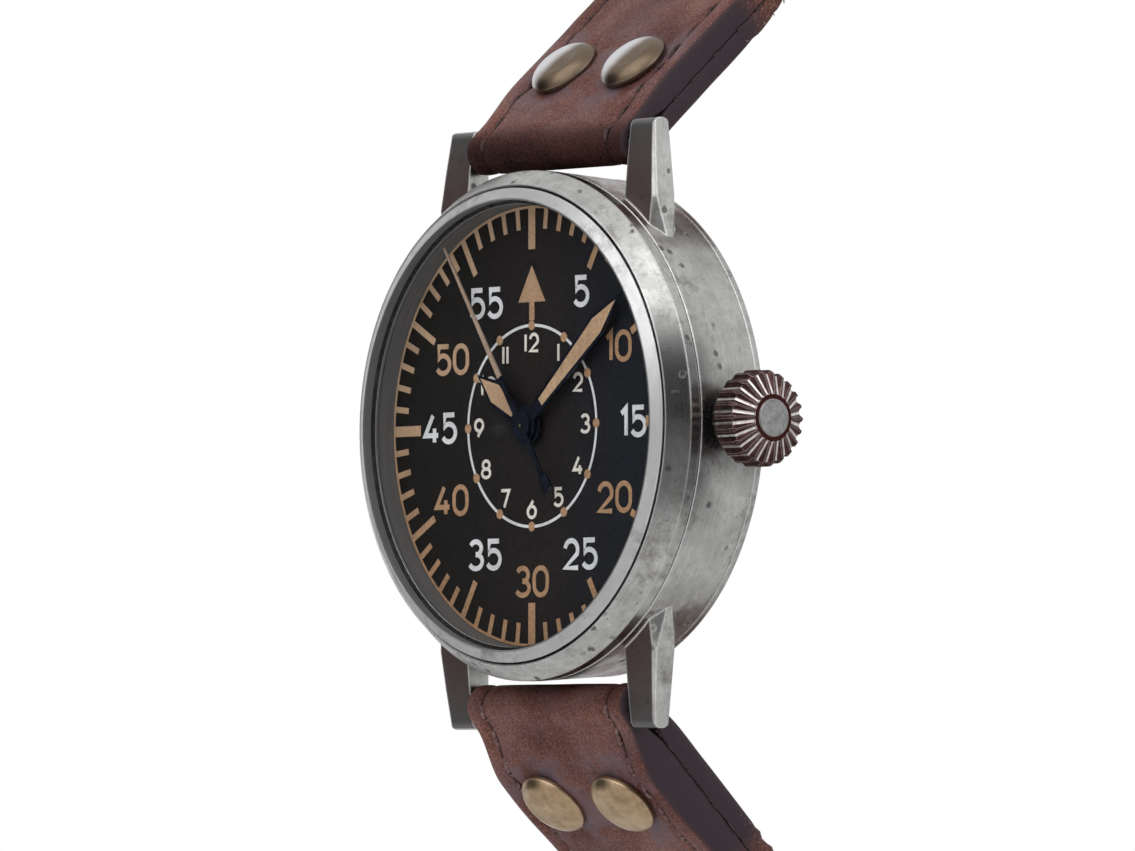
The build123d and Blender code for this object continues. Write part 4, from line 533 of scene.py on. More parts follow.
spot, shader = new_finish("hand_black", Roughness=0.25, Specular_IOR_Level=0.6)
sheen = ramp(grain(spot, 0.8, 3.0), (0.3, (0.004, 0.005, 0.008)), (0.7, (0.010, 0.014, 0.028)))
plug(shader, Base_Color=sheen)
raised(shader, grain(spot, 0.2, 3.0), 0.008, 0.4)

spot, shader = new_finish("flange_black", Roughness=0.5, Specular_IOR_Level=0.3)
wall_grain = grain(turned_place(spot, 2.0, 8.0), 1.0, 4.0)
wall = ramp(wall_grain, (0.3, (0.105, 0.105, 0.106)), (0.7, (0.150, 0.151, 0.153)))
plug(shader, Base_Color=wall)


def paint(name, dark, light):
    """A matt printed or filled paint with a sandy grain and darker freckles."""
    spot, shader = new_finish(name, Roughness=0.75, Specular_IOR_Level=0.3)
    sand = ramp(grain(spot, 0.22, 5.0, 0.7), (0.3, dark), (0.62, light))
    if name == "printed_tan":
        x, z = parts(spot, "XZ")
        # paler towards the upper left
        paler_up_left = between(minus(z, x), 3 * mm, 22 * mm)
        sand = blend(times(paler_up_left, 0.4), sand, (0.60, 0.47, 0.34))
    drift = ramp(grain(spot, 4.0, 2.0), (0.35, 0.86), (0.65, 1.06))
    plug(shader, Base_Color=directions("MULTIPLY", sand, drift))
    raised(shader, grain(spot, 0.132, 3.0), 0.015, 0.5)


paint("lume_tan", (0.35, 0.215, 0.125), (0.57, 0.385, 0.24))
paint("seconds_tan", (0.27, 0.19, 0.135), (0.44, 0.33, 0.25))
paint("printed_tan", (0.29, 0.160, 0.085), (0.49, 0.300, 0.170))
paint("printed_white", (0.60, 0.62, 0.64), (0.76, 0.78, 0.80))
paint("printed_cream", (0.64, 0.60, 0.53), (0.82, 0.79, 0.72))
print("finishes so far:", len(finishes))

# %% [markdown]
# ## The movement behind the dial
#
# Nobody sees the movement while the case is closed, but a watchmaker who takes the dial
# off does. Plates and bridges are frosted brass, arbors and screws are polished steel,
# bearings are red stones, and seals are black rubber.

# %% Hidden finishes
def hard_part(name, dark, light, size, depth, **values):
    """A simple part finish: two tones of cloudy grain and a fine texture."""
    spot, shader = new_finish(name, **values)
    plug(shader, Base_Color=ramp(grain(spot, size, 4.0), (0.35, dark), (0.65, light)))
    raised(shader, grain(spot, size * 0.3, 3.0), depth, 0.5)
    return spot, shader


hard_part("movement_brass", (0.55, 0.40, 0.18), (0.80, 0.62, 0.33), 0.5, 0.01, Metallic=1.0, Roughness=0.35)
hard_part("movement_steel", (0.45, 0.46, 0.48), (0.70, 0.71, 0.72), 0.6, 0.005, Metallic=1.0, Roughness=0.22)
polish = {"Metallic": 1.0, "Roughness": 0.15}
hard_part("polished_screw_steel", (0.50, 0.51, 0.54), (0.78, 0.79, 0.80), 0.5, 0.004, **polish)
hard_part("jewel_red", (0.30, 0.004, 0.02), (0.55, 0.01, 0.05), 0.4, 0.002, Roughness=0.08)
hard_part("seal_rubber", 0.010, 0.03, 0.5, 0.02, Roughness=0.7)
print("finishes so far:", len(finishes))

# %% [markdown]
# ## Rivets
#
# The domed rivets are antique brass with a brown patina. A painted pale grey reflection
# covers the upper left half of the top pair and the lower rim of the other pair, and
# painted shade darkens the lower right of the top pair. The places of the four heads are
# known, so a point's place on its head paints it.

# %% Rivet finish
rivet_across = 4.45
rivet_radius = 3.05
spot, shader = new_finish("rivet_brass", Metallic=1.0)
worn = edge_polish(shader, 0.2)
patina = grain(spot, 1.6, 6.0, 0.7)
brasses = ((0.30, (0.30, 0.205, 0.120)), (0.5, (0.44, 0.315, 0.195)), (0.7, (0.56, 0.430, 0.285)))
spots = ramp(grain(spot, 0.5, 5.0), (0.62, 0.0), (0.74, 0.6))
colour = blend(spots, ramp(patina, *brasses), (0.13, 0.09, 0.05))
x, z = parts(spot, "XZ")
from_middle = minus(x, times(sums("SIGN", x), rivet_across * mm))


def on_head(strap_way, middle, across_share, along_share):
    """Where a point lies on its rivet head: -1 at one side of the head, 1 at the other."""
    along = times(minus(leaning(spot, strap_way), middle * mm), along_share)
    return times(plus(times(from_middle, across_share), along), 1 / (rivet_radius * mm))


upper = on_head((0.0, 0.749, 0.663), 18.96, -0.95, 0.3)
lower = on_head((0.0, 0.713, -0.701), 20.03, -0.6, 0.8)
# painted shade: darker brown on the lower right of the top rivets
painted_shade_side = times(between(upper, 0.2, -0.05), sums("GREATER_THAN", z, 0.0), 0.85)
colour = blend(painted_shade_side, colour, (0.115, 0.085, 0.062))
# painted reflection: pale grey on the upper left of the top rivets and the lower rim of the others
upper_painted_reflection = times(between(upper, -0.15, 0.30), 0.95)
lower_painted_reflection = times(between(lower, 0.62, 0.80), 0.85)
colour = blend(sums("MAXIMUM", upper_painted_reflection, lower_painted_reflection), colour, (0.74, 0.75, 0.80))
colour = blend(times(worn, 0.4), colour, (0.62, 0.60, 0.57))
plug(shader, Base_Color=colour, Roughness=ramp(patina, (0.3, 0.38), (0.7, 0.28)))
raised(shader, patina, 0.03, 0.45)
print("rivet finish ready")

# %% [markdown]
# ## Give the CAD parts their finishes
#
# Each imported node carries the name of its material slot, and the finishes above have the
# same names, so one loop dresses every hard part. The leather nodes wait: they are
# replaced by modelled pieces further down.

# %% Dress the CAD parts
dressed = 0
for name, node in nodes.items():
    slot_name = node.data.materials[0].name
    if slot_name in finishes:
        finish = "seconds_tan" if name == "second_lume" else slot_name
        for place in range(len(node.data.materials)):
            node.data.materials[place] = finishes[finish]
        dressed += 1
print("CAD parts dressed:", dressed)

# %% [markdown]
# ## A helper that makes a piece from points and faces
#
# Every modelled piece is made the same way: a list of points in millimetres and a list of
# faces, kept together as one shape, a finish, and the CAD body that it rides on. Bmesh
# turns the faces outward. Marks are grey values, one for each point, that a finish reads.

# %% Mesh helpers
import bmesh


def outward_mesh(name, shape, smooth=False):
    """A mesh from points in mm, with its faces turned outward."""
    spots, faces = shape
    mesh = bpy.data.meshes.new(name)
    mesh.from_pydata([Vector(spot) * mm for spot in spots], [], faces)
    work = bmesh.new()
    work.from_mesh(mesh)
    bmesh.ops.recalc_face_normals(work, faces=work.faces)
    for face in work.faces:
        face.smooth = smooth
    work.to_mesh(mesh)
    work.free()
    return mesh


def make_piece(name, shape, finish, body, slot_name=None, smooth=True, **marks):
    """Build an object, dress it and let it ride on a body; short marks end with zeros."""
    mesh = outward_mesh(name, shape, smooth)
    for mark, greys in marks.items():
        layer = mesh.attributes.new(mark, "FLOAT", "POINT")
        layer.data.foreach_set("value", greys + [0.0] * (len(mesh.vertices) - len(greys)))
    mesh.materials.append(finishes[finish])
    piece = bpy.data.objects.new(name, mesh)
    scene.collection.objects.link(piece)
    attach(piece, body)
    return piece


def append_shape(shape, more):
    """Add one shape's points and faces to another."""
    start = len(shape[0])
    shape[0].extend(more[0])
    shape[1].extend(tuple(start + spot for spot in face) for face in more[1])


print("mesh helpers ready")

# %% [markdown]
# ## Printing the dial: strokes
#
# Dial printing is a layer of paint three hundredths of a millimetre high. A painted
# material would blur up close, so each mark is a flat raised stroke: a line of points,
# widened to both sides and given its thickness. Where two strokes cross, one is lifted a
# little, because two faces at the same height would shade each other.

# %% Stroke helpers
print_low = -8.40
print_high = -8.43
crossing_lift = 0.006
sharpest_share = 0.35


def widen(points, width, closed):
    """The left and right side of a line of points that is width wide."""
    count = len(points)
    sides = []
    for place in range(count):
        here = Vector(points[place])
        ways = []
        if closed or place:
            ways.append((here - Vector(points[place - 1])).normalized())
        if closed or place < count - 1:
            ways.append((Vector(points[(place + 1) % count]) - here).normalized())
        normal = sum([Vector((-way.y, way.x)) for way in ways], Vector((0.0, 0.0)))
        share = max(normal.length_squared / len(ways), sharpest_share)
        offset = normal / share * width / 2
        sides.append((here + offset, here - offset))
    return sides


def print_stroke(marks, points, width, closed=False, lift=0.0):
    """Add one flat raised stroke to marks; lift sets it above a stroke that it crosses."""
    spots, faces = marks
    start = len(spots)
    count = len(points)
    for pair in widen(points, width, closed):
        for side in pair:
            spots.append((side.x, print_high - lift, side.y))
            spots.append((side.x, print_low, side.y))
    for place in range(count if closed else count - 1):
        a = start + 4 * place
        b = start + 4 * ((place + 1) % count)
        faces.extend([(a, b, b + 2, a + 2), (a, a + 1, b + 1, b), (a + 2, b + 2, b + 3, a + 3)])
    if not closed:
        for a in (start, start + 4 * (count - 1)):
            faces.append((a, a + 2, a + 3, a + 1))


def print_plate(marks, outline, lift=0.0):
    """Add one flat raised plate with this outline to marks."""
    spots, faces = marks
    start = len(spots)
    count = len(outline)
    for height in (print_high - lift, print_low):
        spots.extend((x, height, z) for x, z in outline)
    faces.append(tuple(range(start, start + count)))
    for step in range(count):
        after = (step + 1) % count
        faces.append((start + step, start + after, start + count + after, start + count + step))


def arc(centre, radii, first, last, steps=20):
    """Points on an ellipse; angles in degrees, from 3 o'clock and turning left."""
    spots = []
    for step in range(steps + 1):
        turn = math.radians(first + (last - first) * step / steps)
        spots.append((centre[0] + radii[0] * math.cos(turn), centre[1] + radii[1] * math.sin(turn)))
    return spots


def ring_line(centre, radii, steps=20):
    """A whole ellipse, without its last point, which would lie on the first."""
    return arc(centre, radii, 0, 360, steps)[:-1]


print("printed paint height in mm:", round(print_low - print_high, 3))

# %% [markdown]
# ## Ticks, rings and the arrow
#
# The outer track has sixty ticks, longer at each five minutes and broad at the quarters,
# hung from a thin ring. At 12 stands the pilot's triangle, and an inner ring with a dot
# at each hour carries the small hour numerals.

# %% Minute track and triangle
tan_marks = ([], [])
white_marks = ([], [])
cream_marks = ([], [])
track_radius = 18.03
hour_ring_radius = 8.28
dot_radius = 0.4
dot_lift = 0.02
triangle = [(0.0, 13.2), (1.75, 10.2), (-1.75, 10.2)]
ticks = {0: (16.25, 0.5), 5: (14.65, 0.58), 15: (14.55, 0.87)}


def polar(radius, minute):
    """The X and Z of a point at a radius and a minute."""
    turn = math.radians(6 * minute)
    return (radius * math.sin(turn), radius * math.cos(turn))


for minute in range(60):
    inner, width = ticks[0]
    if minute % 5 == 0:
        inner, width = ticks[5]
    if minute % 15 == 0:
        inner, width = ticks[15]
    print_stroke(tan_marks, [polar(inner, minute), polar(track_radius, minute)], width)
print_stroke(tan_marks, ring_line((0, 0), (track_radius, track_radius), 180), 0.22, True, crossing_lift)
print_stroke(white_marks, ring_line((0, 0), (hour_ring_radius, hour_ring_radius), 120), 0.24, True)
for hour in range(12):
    dot = ring_line(polar(hour_ring_radius, 5 * hour), (dot_radius, dot_radius), 24)
    print_plate(tan_marks, dot, dot_lift)
print_plate(tan_marks, triangle)
print_stroke(tan_marks, [(0.0, 10.2), (0.0, 8.7)], 0.66)
print("points in the track:", len(tan_marks[0]))

# %% [markdown]
# ## Numerals
#
# The numerals follow an old engineering letter: even strokes, round bowls and flat
# ends. Each digit is a few lines inside a box one unit high and three quarters wide, and
# a line that closes on itself says so. No font file is needed.

# %% Digits
digit_width = 0.76
digit_widths = {"1": 0.50, "|": 0.0}
stadium = arc((0.38, 0.62), (0.38, 0.38), 0, 180) + arc((0.38, 0.38), (0.38, 0.38), 180, 360)
digit_lines = {
    "0": [(stadium, True)],
    "1": [([(0.20, 0.80), (0.46, 1.0), (0.46, 0.0)], False)],
    "2": [(arc((0.38, 0.66), (0.36, 0.34), 170, -28) + [(0.02, 0.0), (0.76, 0.0)], False)],
    "3": [
        (arc((0.37, 0.755), (0.32, 0.245), 155, -90), False),
        (arc((0.37, 0.265), (0.38, 0.265), 90, -155), False),
    ],
    "4": [([(0.46, 1.0), (0.0, 0.26), (0.76, 0.26)], False), ([(0.55, 0.52), (0.55, 0.0)], False)],
    "5": [([(0.68, 1.0), (0.12, 1.0), (0.08, 0.50)] + arc((0.36, 0.33), (0.39, 0.33), 128, -150), False)],
    "6": [([(0.50, 1.0), (0.06, 0.46)], False), (ring_line((0.38, 0.335), (0.37, 0.335)), True)],
    "7": [([(0.0, 1.0), (0.74, 1.0), (0.27, 0.0)], False)],
    "8": [
        (ring_line((0.38, 0.755), (0.31, 0.245)), True),
        (ring_line((0.38, 0.265), (0.38, 0.265)), True),
    ],
    "9": [([(0.26, 0.0), (0.70, 0.54)], False), (ring_line((0.38, 0.665), (0.37, 0.335)), True)],
    "|": [([(0.0, 1.0), (0.0, 0.0)], False)],
}


def print_number(marks, text, centre, height, stroke, gap):
    """Print upright digits round a centre; height is the outer height in mm."""
    tall = height - stroke
    widths = [digit_widths.get(digit, digit_width) * tall + stroke for digit in text]
    across = -(sum(widths) + gap * (len(text) - 1)) / 2
    for digit, wide in zip(text, widths):
        for layer, (line, closed) in enumerate(digit_lines[digit]):
            spots = []
            for x, z in line:
                spots.append((centre[0] + across + stroke / 2 + x * tall, centre[1] - tall / 2 + z * tall))
            print_stroke(marks, spots, stroke, closed, layer * crossing_lift)
        across += wide + gap


print("digits ready:", len(digit_lines))

# %% Print the numerals
minute_numbers = {
    "5": (6.35, 10.85), "10": (10.85, 6.2), "15": (12.75, 0.0), "20": (10.6, -6.1),
    "25": (6.25, -10.65), "30": (0.0, -12.8), "35": (-6.1, -10.5), "40": (-10.45, -5.9),
    "45": (-11.95, 0.1), "50": (-10.4, 5.8), "55": (-5.95, 10.3),
}
hour_radius = 6.85
plain_ones = {"1": "|", "11": "||", "12": "|2"}
for text, centre in minute_numbers.items():
    marks = tan_marks if text.endswith("0") else white_marks
    print_number(marks, text, centre, height=2.65, stroke=0.42, gap=0.2)
for hour in range(1, 13):
    text = plain_ones.get(str(hour), str(hour))
    print_number(cream_marks, text, polar(hour_radius, 5 * hour), height=1.65, stroke=0.27, gap=0.28)
for colour, marks in (("tan", tan_marks), ("white", white_marks), ("cream", cream_marks)):
    make_piece("dial_print_" + colour, marks, "printed_" + colour, "watch", smooth=False)
print("numerals printed:", len(minute_numbers) + 12)

# %% [markdown]
# ## The strap's path
#
# Each strap half leaves its spring bar in a straight line and then bends round the wrist
# in one arc. `along` is the distance from the bar, `out` the height above the line where
# the two leather layers meet. These sums place all the leather, stitches and keepers.

# %% Strap path
bar_reach = 23.0
bar_height = 5.6
straight_run = 27.0
bend_radius = 42.0
strap_width = 20.0
tail_width = 18.0
tail_round = 9.5
fold_radius = 1.8
fold_hole = 0.8
body_thickness = 2.2
turn_end = 22.3
rivet_along = 7.9
halves = {
    "12": {
        "length": 75.0, "lean": 48.5, "curve": 24.0, "front": 2.2, "rear": 1.8,
        "side": 1, "dark_fold": 1.2, "seam_gap": 3.0,
    },
    "6": {
        "length": 118.0, "lean": 45.5, "curve": 64.0, "front": 3.3, "rear": 2.2,
        "side": -1, "dark_fold": 2.8, "seam_gap": 0.9,
    },
}


def strap_spot(half, across, along, out):
    """Where a point of the strap lies in the upright watch, in millimetres."""
    lean = math.radians(half["lean"])
    bent = min(max(along - straight_run, 0.0), half["curve"])
    rest = max(along - straight_run - half["curve"], 0.0)
    run = min(along, straight_run)
    turn = lean + bent / bend_radius
    reach = bar_reach + run * math.cos(lean) + bend_radius * (math.sin(turn) - math.sin(lean))
    reach += rest * math.cos(turn) + out * math.sin(turn)
    height = bar_height - run * math.sin(lean) + bend_radius * (math.cos(turn) - math.cos(lean))
    height += out * math.cos(turn) - rest * math.sin(turn)
    side = half["side"]
    return (side * across, -height, side * reach)


def half_width(half, along):
    """Half the strap's width: it narrows towards the tail."""
    share = (along - straight_run) / (half["length"] - straight_run)
    share = min(max(share, 0.0), 1.0)
    return (strap_width + (tail_width - strap_width) * share) / 2 - 0.05


def tail_share(half, along):
    """How much of that width is left in the long half's rounded tail."""
    left = half["length"] - along
    if half["side"] > 0 or left > tail_round:
        return 1.0
    return math.sqrt(max(1 - (1 - left / tail_round) ** 2.2, 0.004))


def ease(share):
    """A share that starts and ends softly."""
    share = min(max(share, 0.0), 1.0)
    return share * share * (3 - 2 * share)


def bump_at(distance, middle, reach):
    """A grey that is 1 at a distance and fades to both sides of it."""
    return math.exp(-(((distance - middle) / reach) ** 2))


def front_face(half, along):
    """How far the outer face stands out from the middle line."""
    if along < 6:
        return fold_radius + (half["front"] - fold_radius) * ease(along / 6)
    share = ease((along - 8) / (straight_run - 8))
    return half["front"] + (body_thickness - half["front"]) * share


print("strap halves:", {name: half["length"] for name, half in halves.items()})

# %% [markdown]
# ## A ribbon of leather
#
# One thick ribbon makes each strap half: it starts at the raw end under the strap, runs
# back to the lug, folds round the spring bar and goes out again as the outer layer. Each
# station along it has a ring of points, with rounded edges and, on the grain side, a
# groove for the stitches. Rings are then joined to a closed skin.

# %% Ribbon helpers
groove_inset = 1.95
narrowest = 3.3


def ribbon_ring(wide, thick, groove, round_top, round_low):
    """Half a section: across, height, and how much the point belongs to the cut side."""
    top = thick / 2
    points = [
        (0.0, top, 0.0), (wide * 0.3, top, 0.0), (wide * 0.58, top, 0.0), (wide - 3.1, top, 0.0),
        (wide - 2.5, top - 0.02, 0.0), (wide - 2.2, top - groove * 0.7, 0.0),
        (wide - groove_inset, top - groove, 0.0), (wide - 1.7, top - groove * 0.7, 0.0),
        (wide - 1.4, top, 0.0), (wide - 0.95, top + 0.03, 0.0),
    ]
    round_top = min(round_top, thick * 0.4)
    round_low = min(round_low, thick * 0.3)
    for turn in (10, 35, 60, 90):
        bend = math.radians(turn)
        x = wide - round_top + round_top * math.sin(bend)
        points.append((x, top - round_top + round_top * math.cos(bend), ease((turn - 30) / 40)))
    points.append((wide + 0.04, 0.0, 1.0))
    for turn in (90, 55, 20):
        bend = math.radians(turn)
        x = wide - round_low + round_low * math.sin(bend)
        points.append((x, -top + round_low - round_low * math.cos(bend), 1.0))
    return points + [(wide * 0.6, -top, 0.3), (wide * 0.25, -top, 0.3)]


def whole_ring(wide, thick, groove, round_top=0.55, round_low=0.14):
    """A whole section, going round once; a very narrow one is a wider one squeezed."""
    squeeze = min(wide / narrowest, 1.0)
    right = []
    for x, height, side in ribbon_ring(max(wide, narrowest), thick, groove, round_top, round_low):
        right.append((x * squeeze, height, side))
    left = [(-x, height, side) for x, height, side in right]
    return right + left[::-1][:-1]


def skin(rings):
    """A shape that joins equal rings of points, with a fan at both ends."""
    count = len(rings[0])
    spots = [spot for ring in rings for spot in ring]
    faces = []
    for row in range(len(rings) - 1):
        for place in range(count):
            after = (place + 1) % count
            a, b = row * count, (row + 1) * count
            faces.append((a + place, a + after, b + after, b + place))
    for row in (0, len(rings) - 1):
        middle = len(spots)
        spots.append(tuple(sum(axis) / count for axis in zip(*rings[row])))
        for place in range(count):
            faces.append((row * count + place, row * count + (place + 1) % count, middle))
    return spots, faces


print("points in a ring:", len(whole_ring(10.0, 2.2, 0.3)))

# %% Upper leather stations
station_step = 0.6
fold_steps = 14
fold_middle = (fold_radius + fold_hole) / 2


def upper_stations(half):
    """The ribbon's stations: centre along and out, its normal, thickness, kind."""
    stations = []
    along = turn_end
    while along > 0.4:
        share = ease(along / 5)
        high = -fold_hole * (1 - share) - 0.03
        low = -fold_radius + (fold_radius - half["rear"]) * share
        stations.append((along, (high + low) / 2, 0.0, -1.0, high - low, "rear"))
        along -= station_step
    for step in range(fold_steps + 1):
        turn = math.radians(270 - 180 * step / fold_steps)
        a, o = math.cos(turn), math.sin(turn)
        stations.append((fold_middle * a, fold_middle * o, a, o, fold_radius - fold_hole, "fold"))
    along = station_step
    while along < half["length"]:
        low = fold_hole * (1 - ease(along / 5))
        high = front_face(half, along)
        stations.append((along, (high + low) / 2, 0.0, 1.0, high - low, "front"))
        along += station_step
    high = front_face(half, half["length"])
    stations.append((half["length"], high / 2, 0.0, 1.0, high, "front"))
    return stations


def rivet_near(across, along):
    """How close a point of the face is to a rivet, in mm."""
    return min(math.hypot(across - side * rivet_across, along - rivet_along) for side in (-1, 1))


print("stations of the 12 o'clock half:", len(upper_stations(halves["12"])))

# %% [markdown]
# ## The upper leather
#
# The leather swells between rivet and edge, sinks round each rivet head, and ripples
# where it was bent. The raw end was skived thin and torn, so noise pushes its ring in and
# out. Each point keeps five marks that the finish reads: how close it is to a cut side,
# the painted shade at the fold and on the folded end, the painted sheen round a rivet,
# the torn end, and the painted shade in the stitch groove. The cut side of the outer
# layer keeps the fibre that the raw end finished with.

# %% Build the upper leather
def build_upper(name, half, body):
    """One strap half's outer leather as a closed skin with its marks."""
    rings, side_mark, fold_shade_mark, rivet_sheen_mark, raw_mark, groove_shade_mark = [], [], [], [], [], []
    seed = 7.0 * half["side"]
    for along, out, slope_along, slope_out, thick, kind in upper_stations(half):
        front = kind == "front"
        groove = 0.34 if front else 0.30 if kind == "fold" and along < 0.6 else 0.0
        if front and along > half["length"] - 3:
            groove = 0.0
        wide = half_width(half, along) * tail_share(half, along)
        ring = []
        for across, height, side in whole_ring(wide, thick, groove):
            ripple = noise.noise(Vector((across * 0.35, along * 0.35, seed)))
            swell = noise.noise(Vector((across * 0.12, along * 0.1, seed + 5.0)))
            near = rivet_near(across, along) if kind != "fold" else 9.0
            if height > thick * 0.2:
                lift = 0.04 * ripple
                if front:
                    lift = 0.05 * ripple + 0.10 * swell
                    lift -= 0.30 * bump_at(near, 3.4, 0.8)
                    lift += 0.10 * bump_at(near, 5.2, 1.2)
                height += lift
            a = along
            raw = 0.0
            if kind == "rear":
                raw = ease((along - 14.0) / 4)
                fibre = noise.noise(Vector((across * 1.7, along * 1.3, seed + 9.0)))
                if height > 0:
                    height += raw * (0.40 * fibre - 0.1) - 0.55 * ease((along - 17.5) / 4.5)
                a += 0.7 * fibre * ease((along - 19.5) / 3)
            ring.append(strap_spot(half, across, a + slope_along * height, out + slope_out * height))
            side_mark.append(side)
            # painted shade: darker at the fold round the bar and on the folded end under the strap
            fold_shade_mark.append(1 - ease((along + half["dark_fold"]) / 3.0) if kind != "rear" else 0.7)
            # painted sheen: strongest in the dent round each rivet
            rivet_sheen_mark.append(bump_at(near, 3.3, 1.8) if front else 0.0)
            frayed = side * ease((along - 15.5) / 3) * ease((0.9 + fibre) / 0.8)
            torn = raw * (0.15 + 0.5 * side * (0.5 + fibre)) if height > 0 else 0.0
            raw_mark.append(max(torn, frayed))
            # painted shade along the stitch groove
            off = abs(abs(across) - (wide - groove_inset))
            groove_shade_mark.append(max(1 - off / 0.24, 0.0) if groove and height > 0 else 0.0)
        rings.append(ring)
    return make_piece(
        name, skin(rings), "strap_leather", body, "strap_leather", side_cut=side_mark + [1.0, 1.0],
        near_fold=fold_shade_mark, near_rivet=rivet_sheen_mark, torn=raw_mark + [0.6], seam=groove_shade_mark,
    )


# %% [markdown]
# ## Leather finish
#
# The hide is waxed and reddish brown, with purple-grey patches of painted sheen that are
# strongest in the dents round the rivets. A fine grain comes from a cell pattern over
# noise. Painted shade darkens the fold, the folded end and the stitch groove. The cut sides
# are stained dark purple and burnished, and the torn end shows pale fibres. The marks on
# the mesh choose between these looks.

# %% Leather
def leather_look(name, dark, middle, light, sheen_tone):
    """Grained leather that reads the marks stored on the mesh."""
    spot, shader = new_finish(name, Specular_IOR_Level=0.14)

    def mark(kind):
        return add_node(spot, "ShaderNodeAttribute", attribute_name=kind).outputs["Fac"]

    clouds = grain(spot, 7.0, 6.0, 0.62)
    speck = grain(spot, 0.20, 3.0, 0.65)
    tone = plus(times(clouds, 0.42), times(speck, 0.58))
    colour = ramp(tone, (0.36, dark), (0.50, middle), (0.63, light))
    # painted sheen: purple-grey patches, strongest in the dents round the rivets
    patch = ramp(grain(spot, 3.6, 4.0, 0.6), (0.42, 0.0), (0.60, 0.8))
    colour = blend(times(patch, plus(times(mark("near_rivet"), 0.95), 0.25)), colour, sheen_tone)
    # painted shade at the fold and on the folded end
    shaded = ramp(tone, (0.38, (0.006, 0.002, 0.002)), (0.62, (0.060, 0.022, 0.018)))
    colour = blend(mark("near_fold"), colour, shaded)
    # painted shade in the stitch groove
    colour = blend(times(mark("seam"), 0.9), colour, (0.016, 0.008, 0.008))
    colour = blend(mark("side_cut"), colour, (0.036, 0.024, 0.031))
    fibre_tones = ((0.40, (0.07, 0.026, 0.021)), (0.58, (0.15, 0.06, 0.045)), (0.7, (0.42, 0.30, 0.26)))
    colour = blend(mark("torn"), colour, ramp(grain(spot, 0.3, 5.0, 0.8), *fibre_tones))
    matt = ramp(tone, (0.35, 0.62), (0.65, 0.48))
    matt = blend(mark("near_fold"), matt, 0.85)
    matt = blend(mark("side_cut"), matt, 0.42)
    plug(shader, Base_Color=colour, Roughness=matt)
    pores = add_node(
        spot, "ShaderNodeTexVoronoi", feature="DISTANCE_TO_EDGE", Vector=spot, Scale=1 / (0.55 * mm),
    )
    raised(shader, ramp(pores.outputs["Distance"], (0.0, 0.0), (0.22, 1.0)), 0.035, 0.35)
    raised(shader, speck, 0.06, 0.45)
    raised(shader, clouds, 0.5, 0.25)


hide_tones = ((0.066, 0.026, 0.024), (0.150, 0.061, 0.050), (0.290, 0.135, 0.102))
lining_tones = ((0.10, 0.055, 0.035), (0.16, 0.095, 0.062), (0.23, 0.15, 0.10))
leather_look("strap_leather", *hide_tones, (0.150, 0.110, 0.130))
leather_look("lining_leather", *lining_tones, (0.14, 0.10, 0.09))
upper_12 = build_upper("strap_12_leather", halves["12"], "strap_12")
upper_6 = build_upper("strap_6_leather", halves["6"], "strap_6")
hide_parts("strap_12_upper")
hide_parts("strap_6_upper")
print("leather points:", len(upper_12.data.vertices) + len(upper_6.data.vertices))

# %% [markdown]
# ## Lining
#
# Behind the outer layer lies a thin smooth lining that touches the wrist. It starts where
# the folded end stops. It uses the same ring and skin helpers, with no groove.

# %% Lining
lining_start = turn_end + 0.25
lining_thickness = 1.3
lining_step = 0.8


def build_lining(name, half, body, end_gap):
    """The thin lining, from the folded end to the tail."""
    rings, side_mark = [], []
    end = half["length"] - end_gap
    steps = int((end - lining_start) / lining_step)
    for step in range(steps + 1):
        along = lining_start + (end - lining_start) * step / steps
        wide = (half_width(half, along) - 0.08) * tail_share(half, along)
        ring = []
        for across, height, side in whole_ring(wide, lining_thickness - 0.05, 0.0, 0.3, 0.15):
            if height > 0:
                height += 0.04 * noise.noise(Vector((across * 0.5, along * 0.5, 3.0)))
            ring.append(strap_spot(half, across, along, -lining_thickness / 2 - 0.03 - height))
            side_mark.append(side)
        rings.append(ring)
    side_cut = side_mark + [1.0, 1.0]
    return make_piece(name, skin(rings), "lining_leather", body, "lining_leather", side_cut=side_cut)


lining_12 = build_lining("strap_12_inner_leather", halves["12"], "strap_12", 3.4)
lining_6 = build_lining("strap_6_inner_leather", halves["6"], "strap_6", 0.0)
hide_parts("strap_12_lining")
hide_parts("strap_6_lining")
print("lining points:", len(lining_12.data.vertices) + len(lining_6.data.vertices))

# %% [markdown]
# ## Holes, and the end at the buckle
#
# Seven slots are punched in the long half, and the short half has a slot for the buckle's
# tongue. A Boolean modifier cuts them through both layers; it is then applied, so that
# the mesh has real holes.

# %% Punch the leather
punch_reach = 6.0
hole_count = 7
hole_pitch = 6.5
last_hole = 25.0
hole_length = 2.8
hole_width = 2.0
tongue_slot = 2.6
tongue_slot_length = 8.8


def slot_shape(half, places, length, width):
    """Straight-sided slots across the leather at given distances from the bar."""
    spots, faces = [], []
    ends = (length - width) / 2
    radii = (width / 2, width / 2)
    outline = arc((0, ends), radii, 0, 180, 8) + arc((0, -ends), radii, 180, 360, 8)
    count = len(outline)
    for along in places:
        start = len(spots)
        for out in (punch_reach, -punch_reach):
            spots.extend(strap_spot(half, x, along + a, out) for x, a in outline)
        faces.append(tuple(range(start, start + count)))
        faces.append(tuple(range(start + 2 * count - 1, start + count - 1, -1)))
        for place in range(count):
            after = (place + 1) % count
            faces.append((start + place, start + count + place, start + count + after, start + after))
    return spots, faces


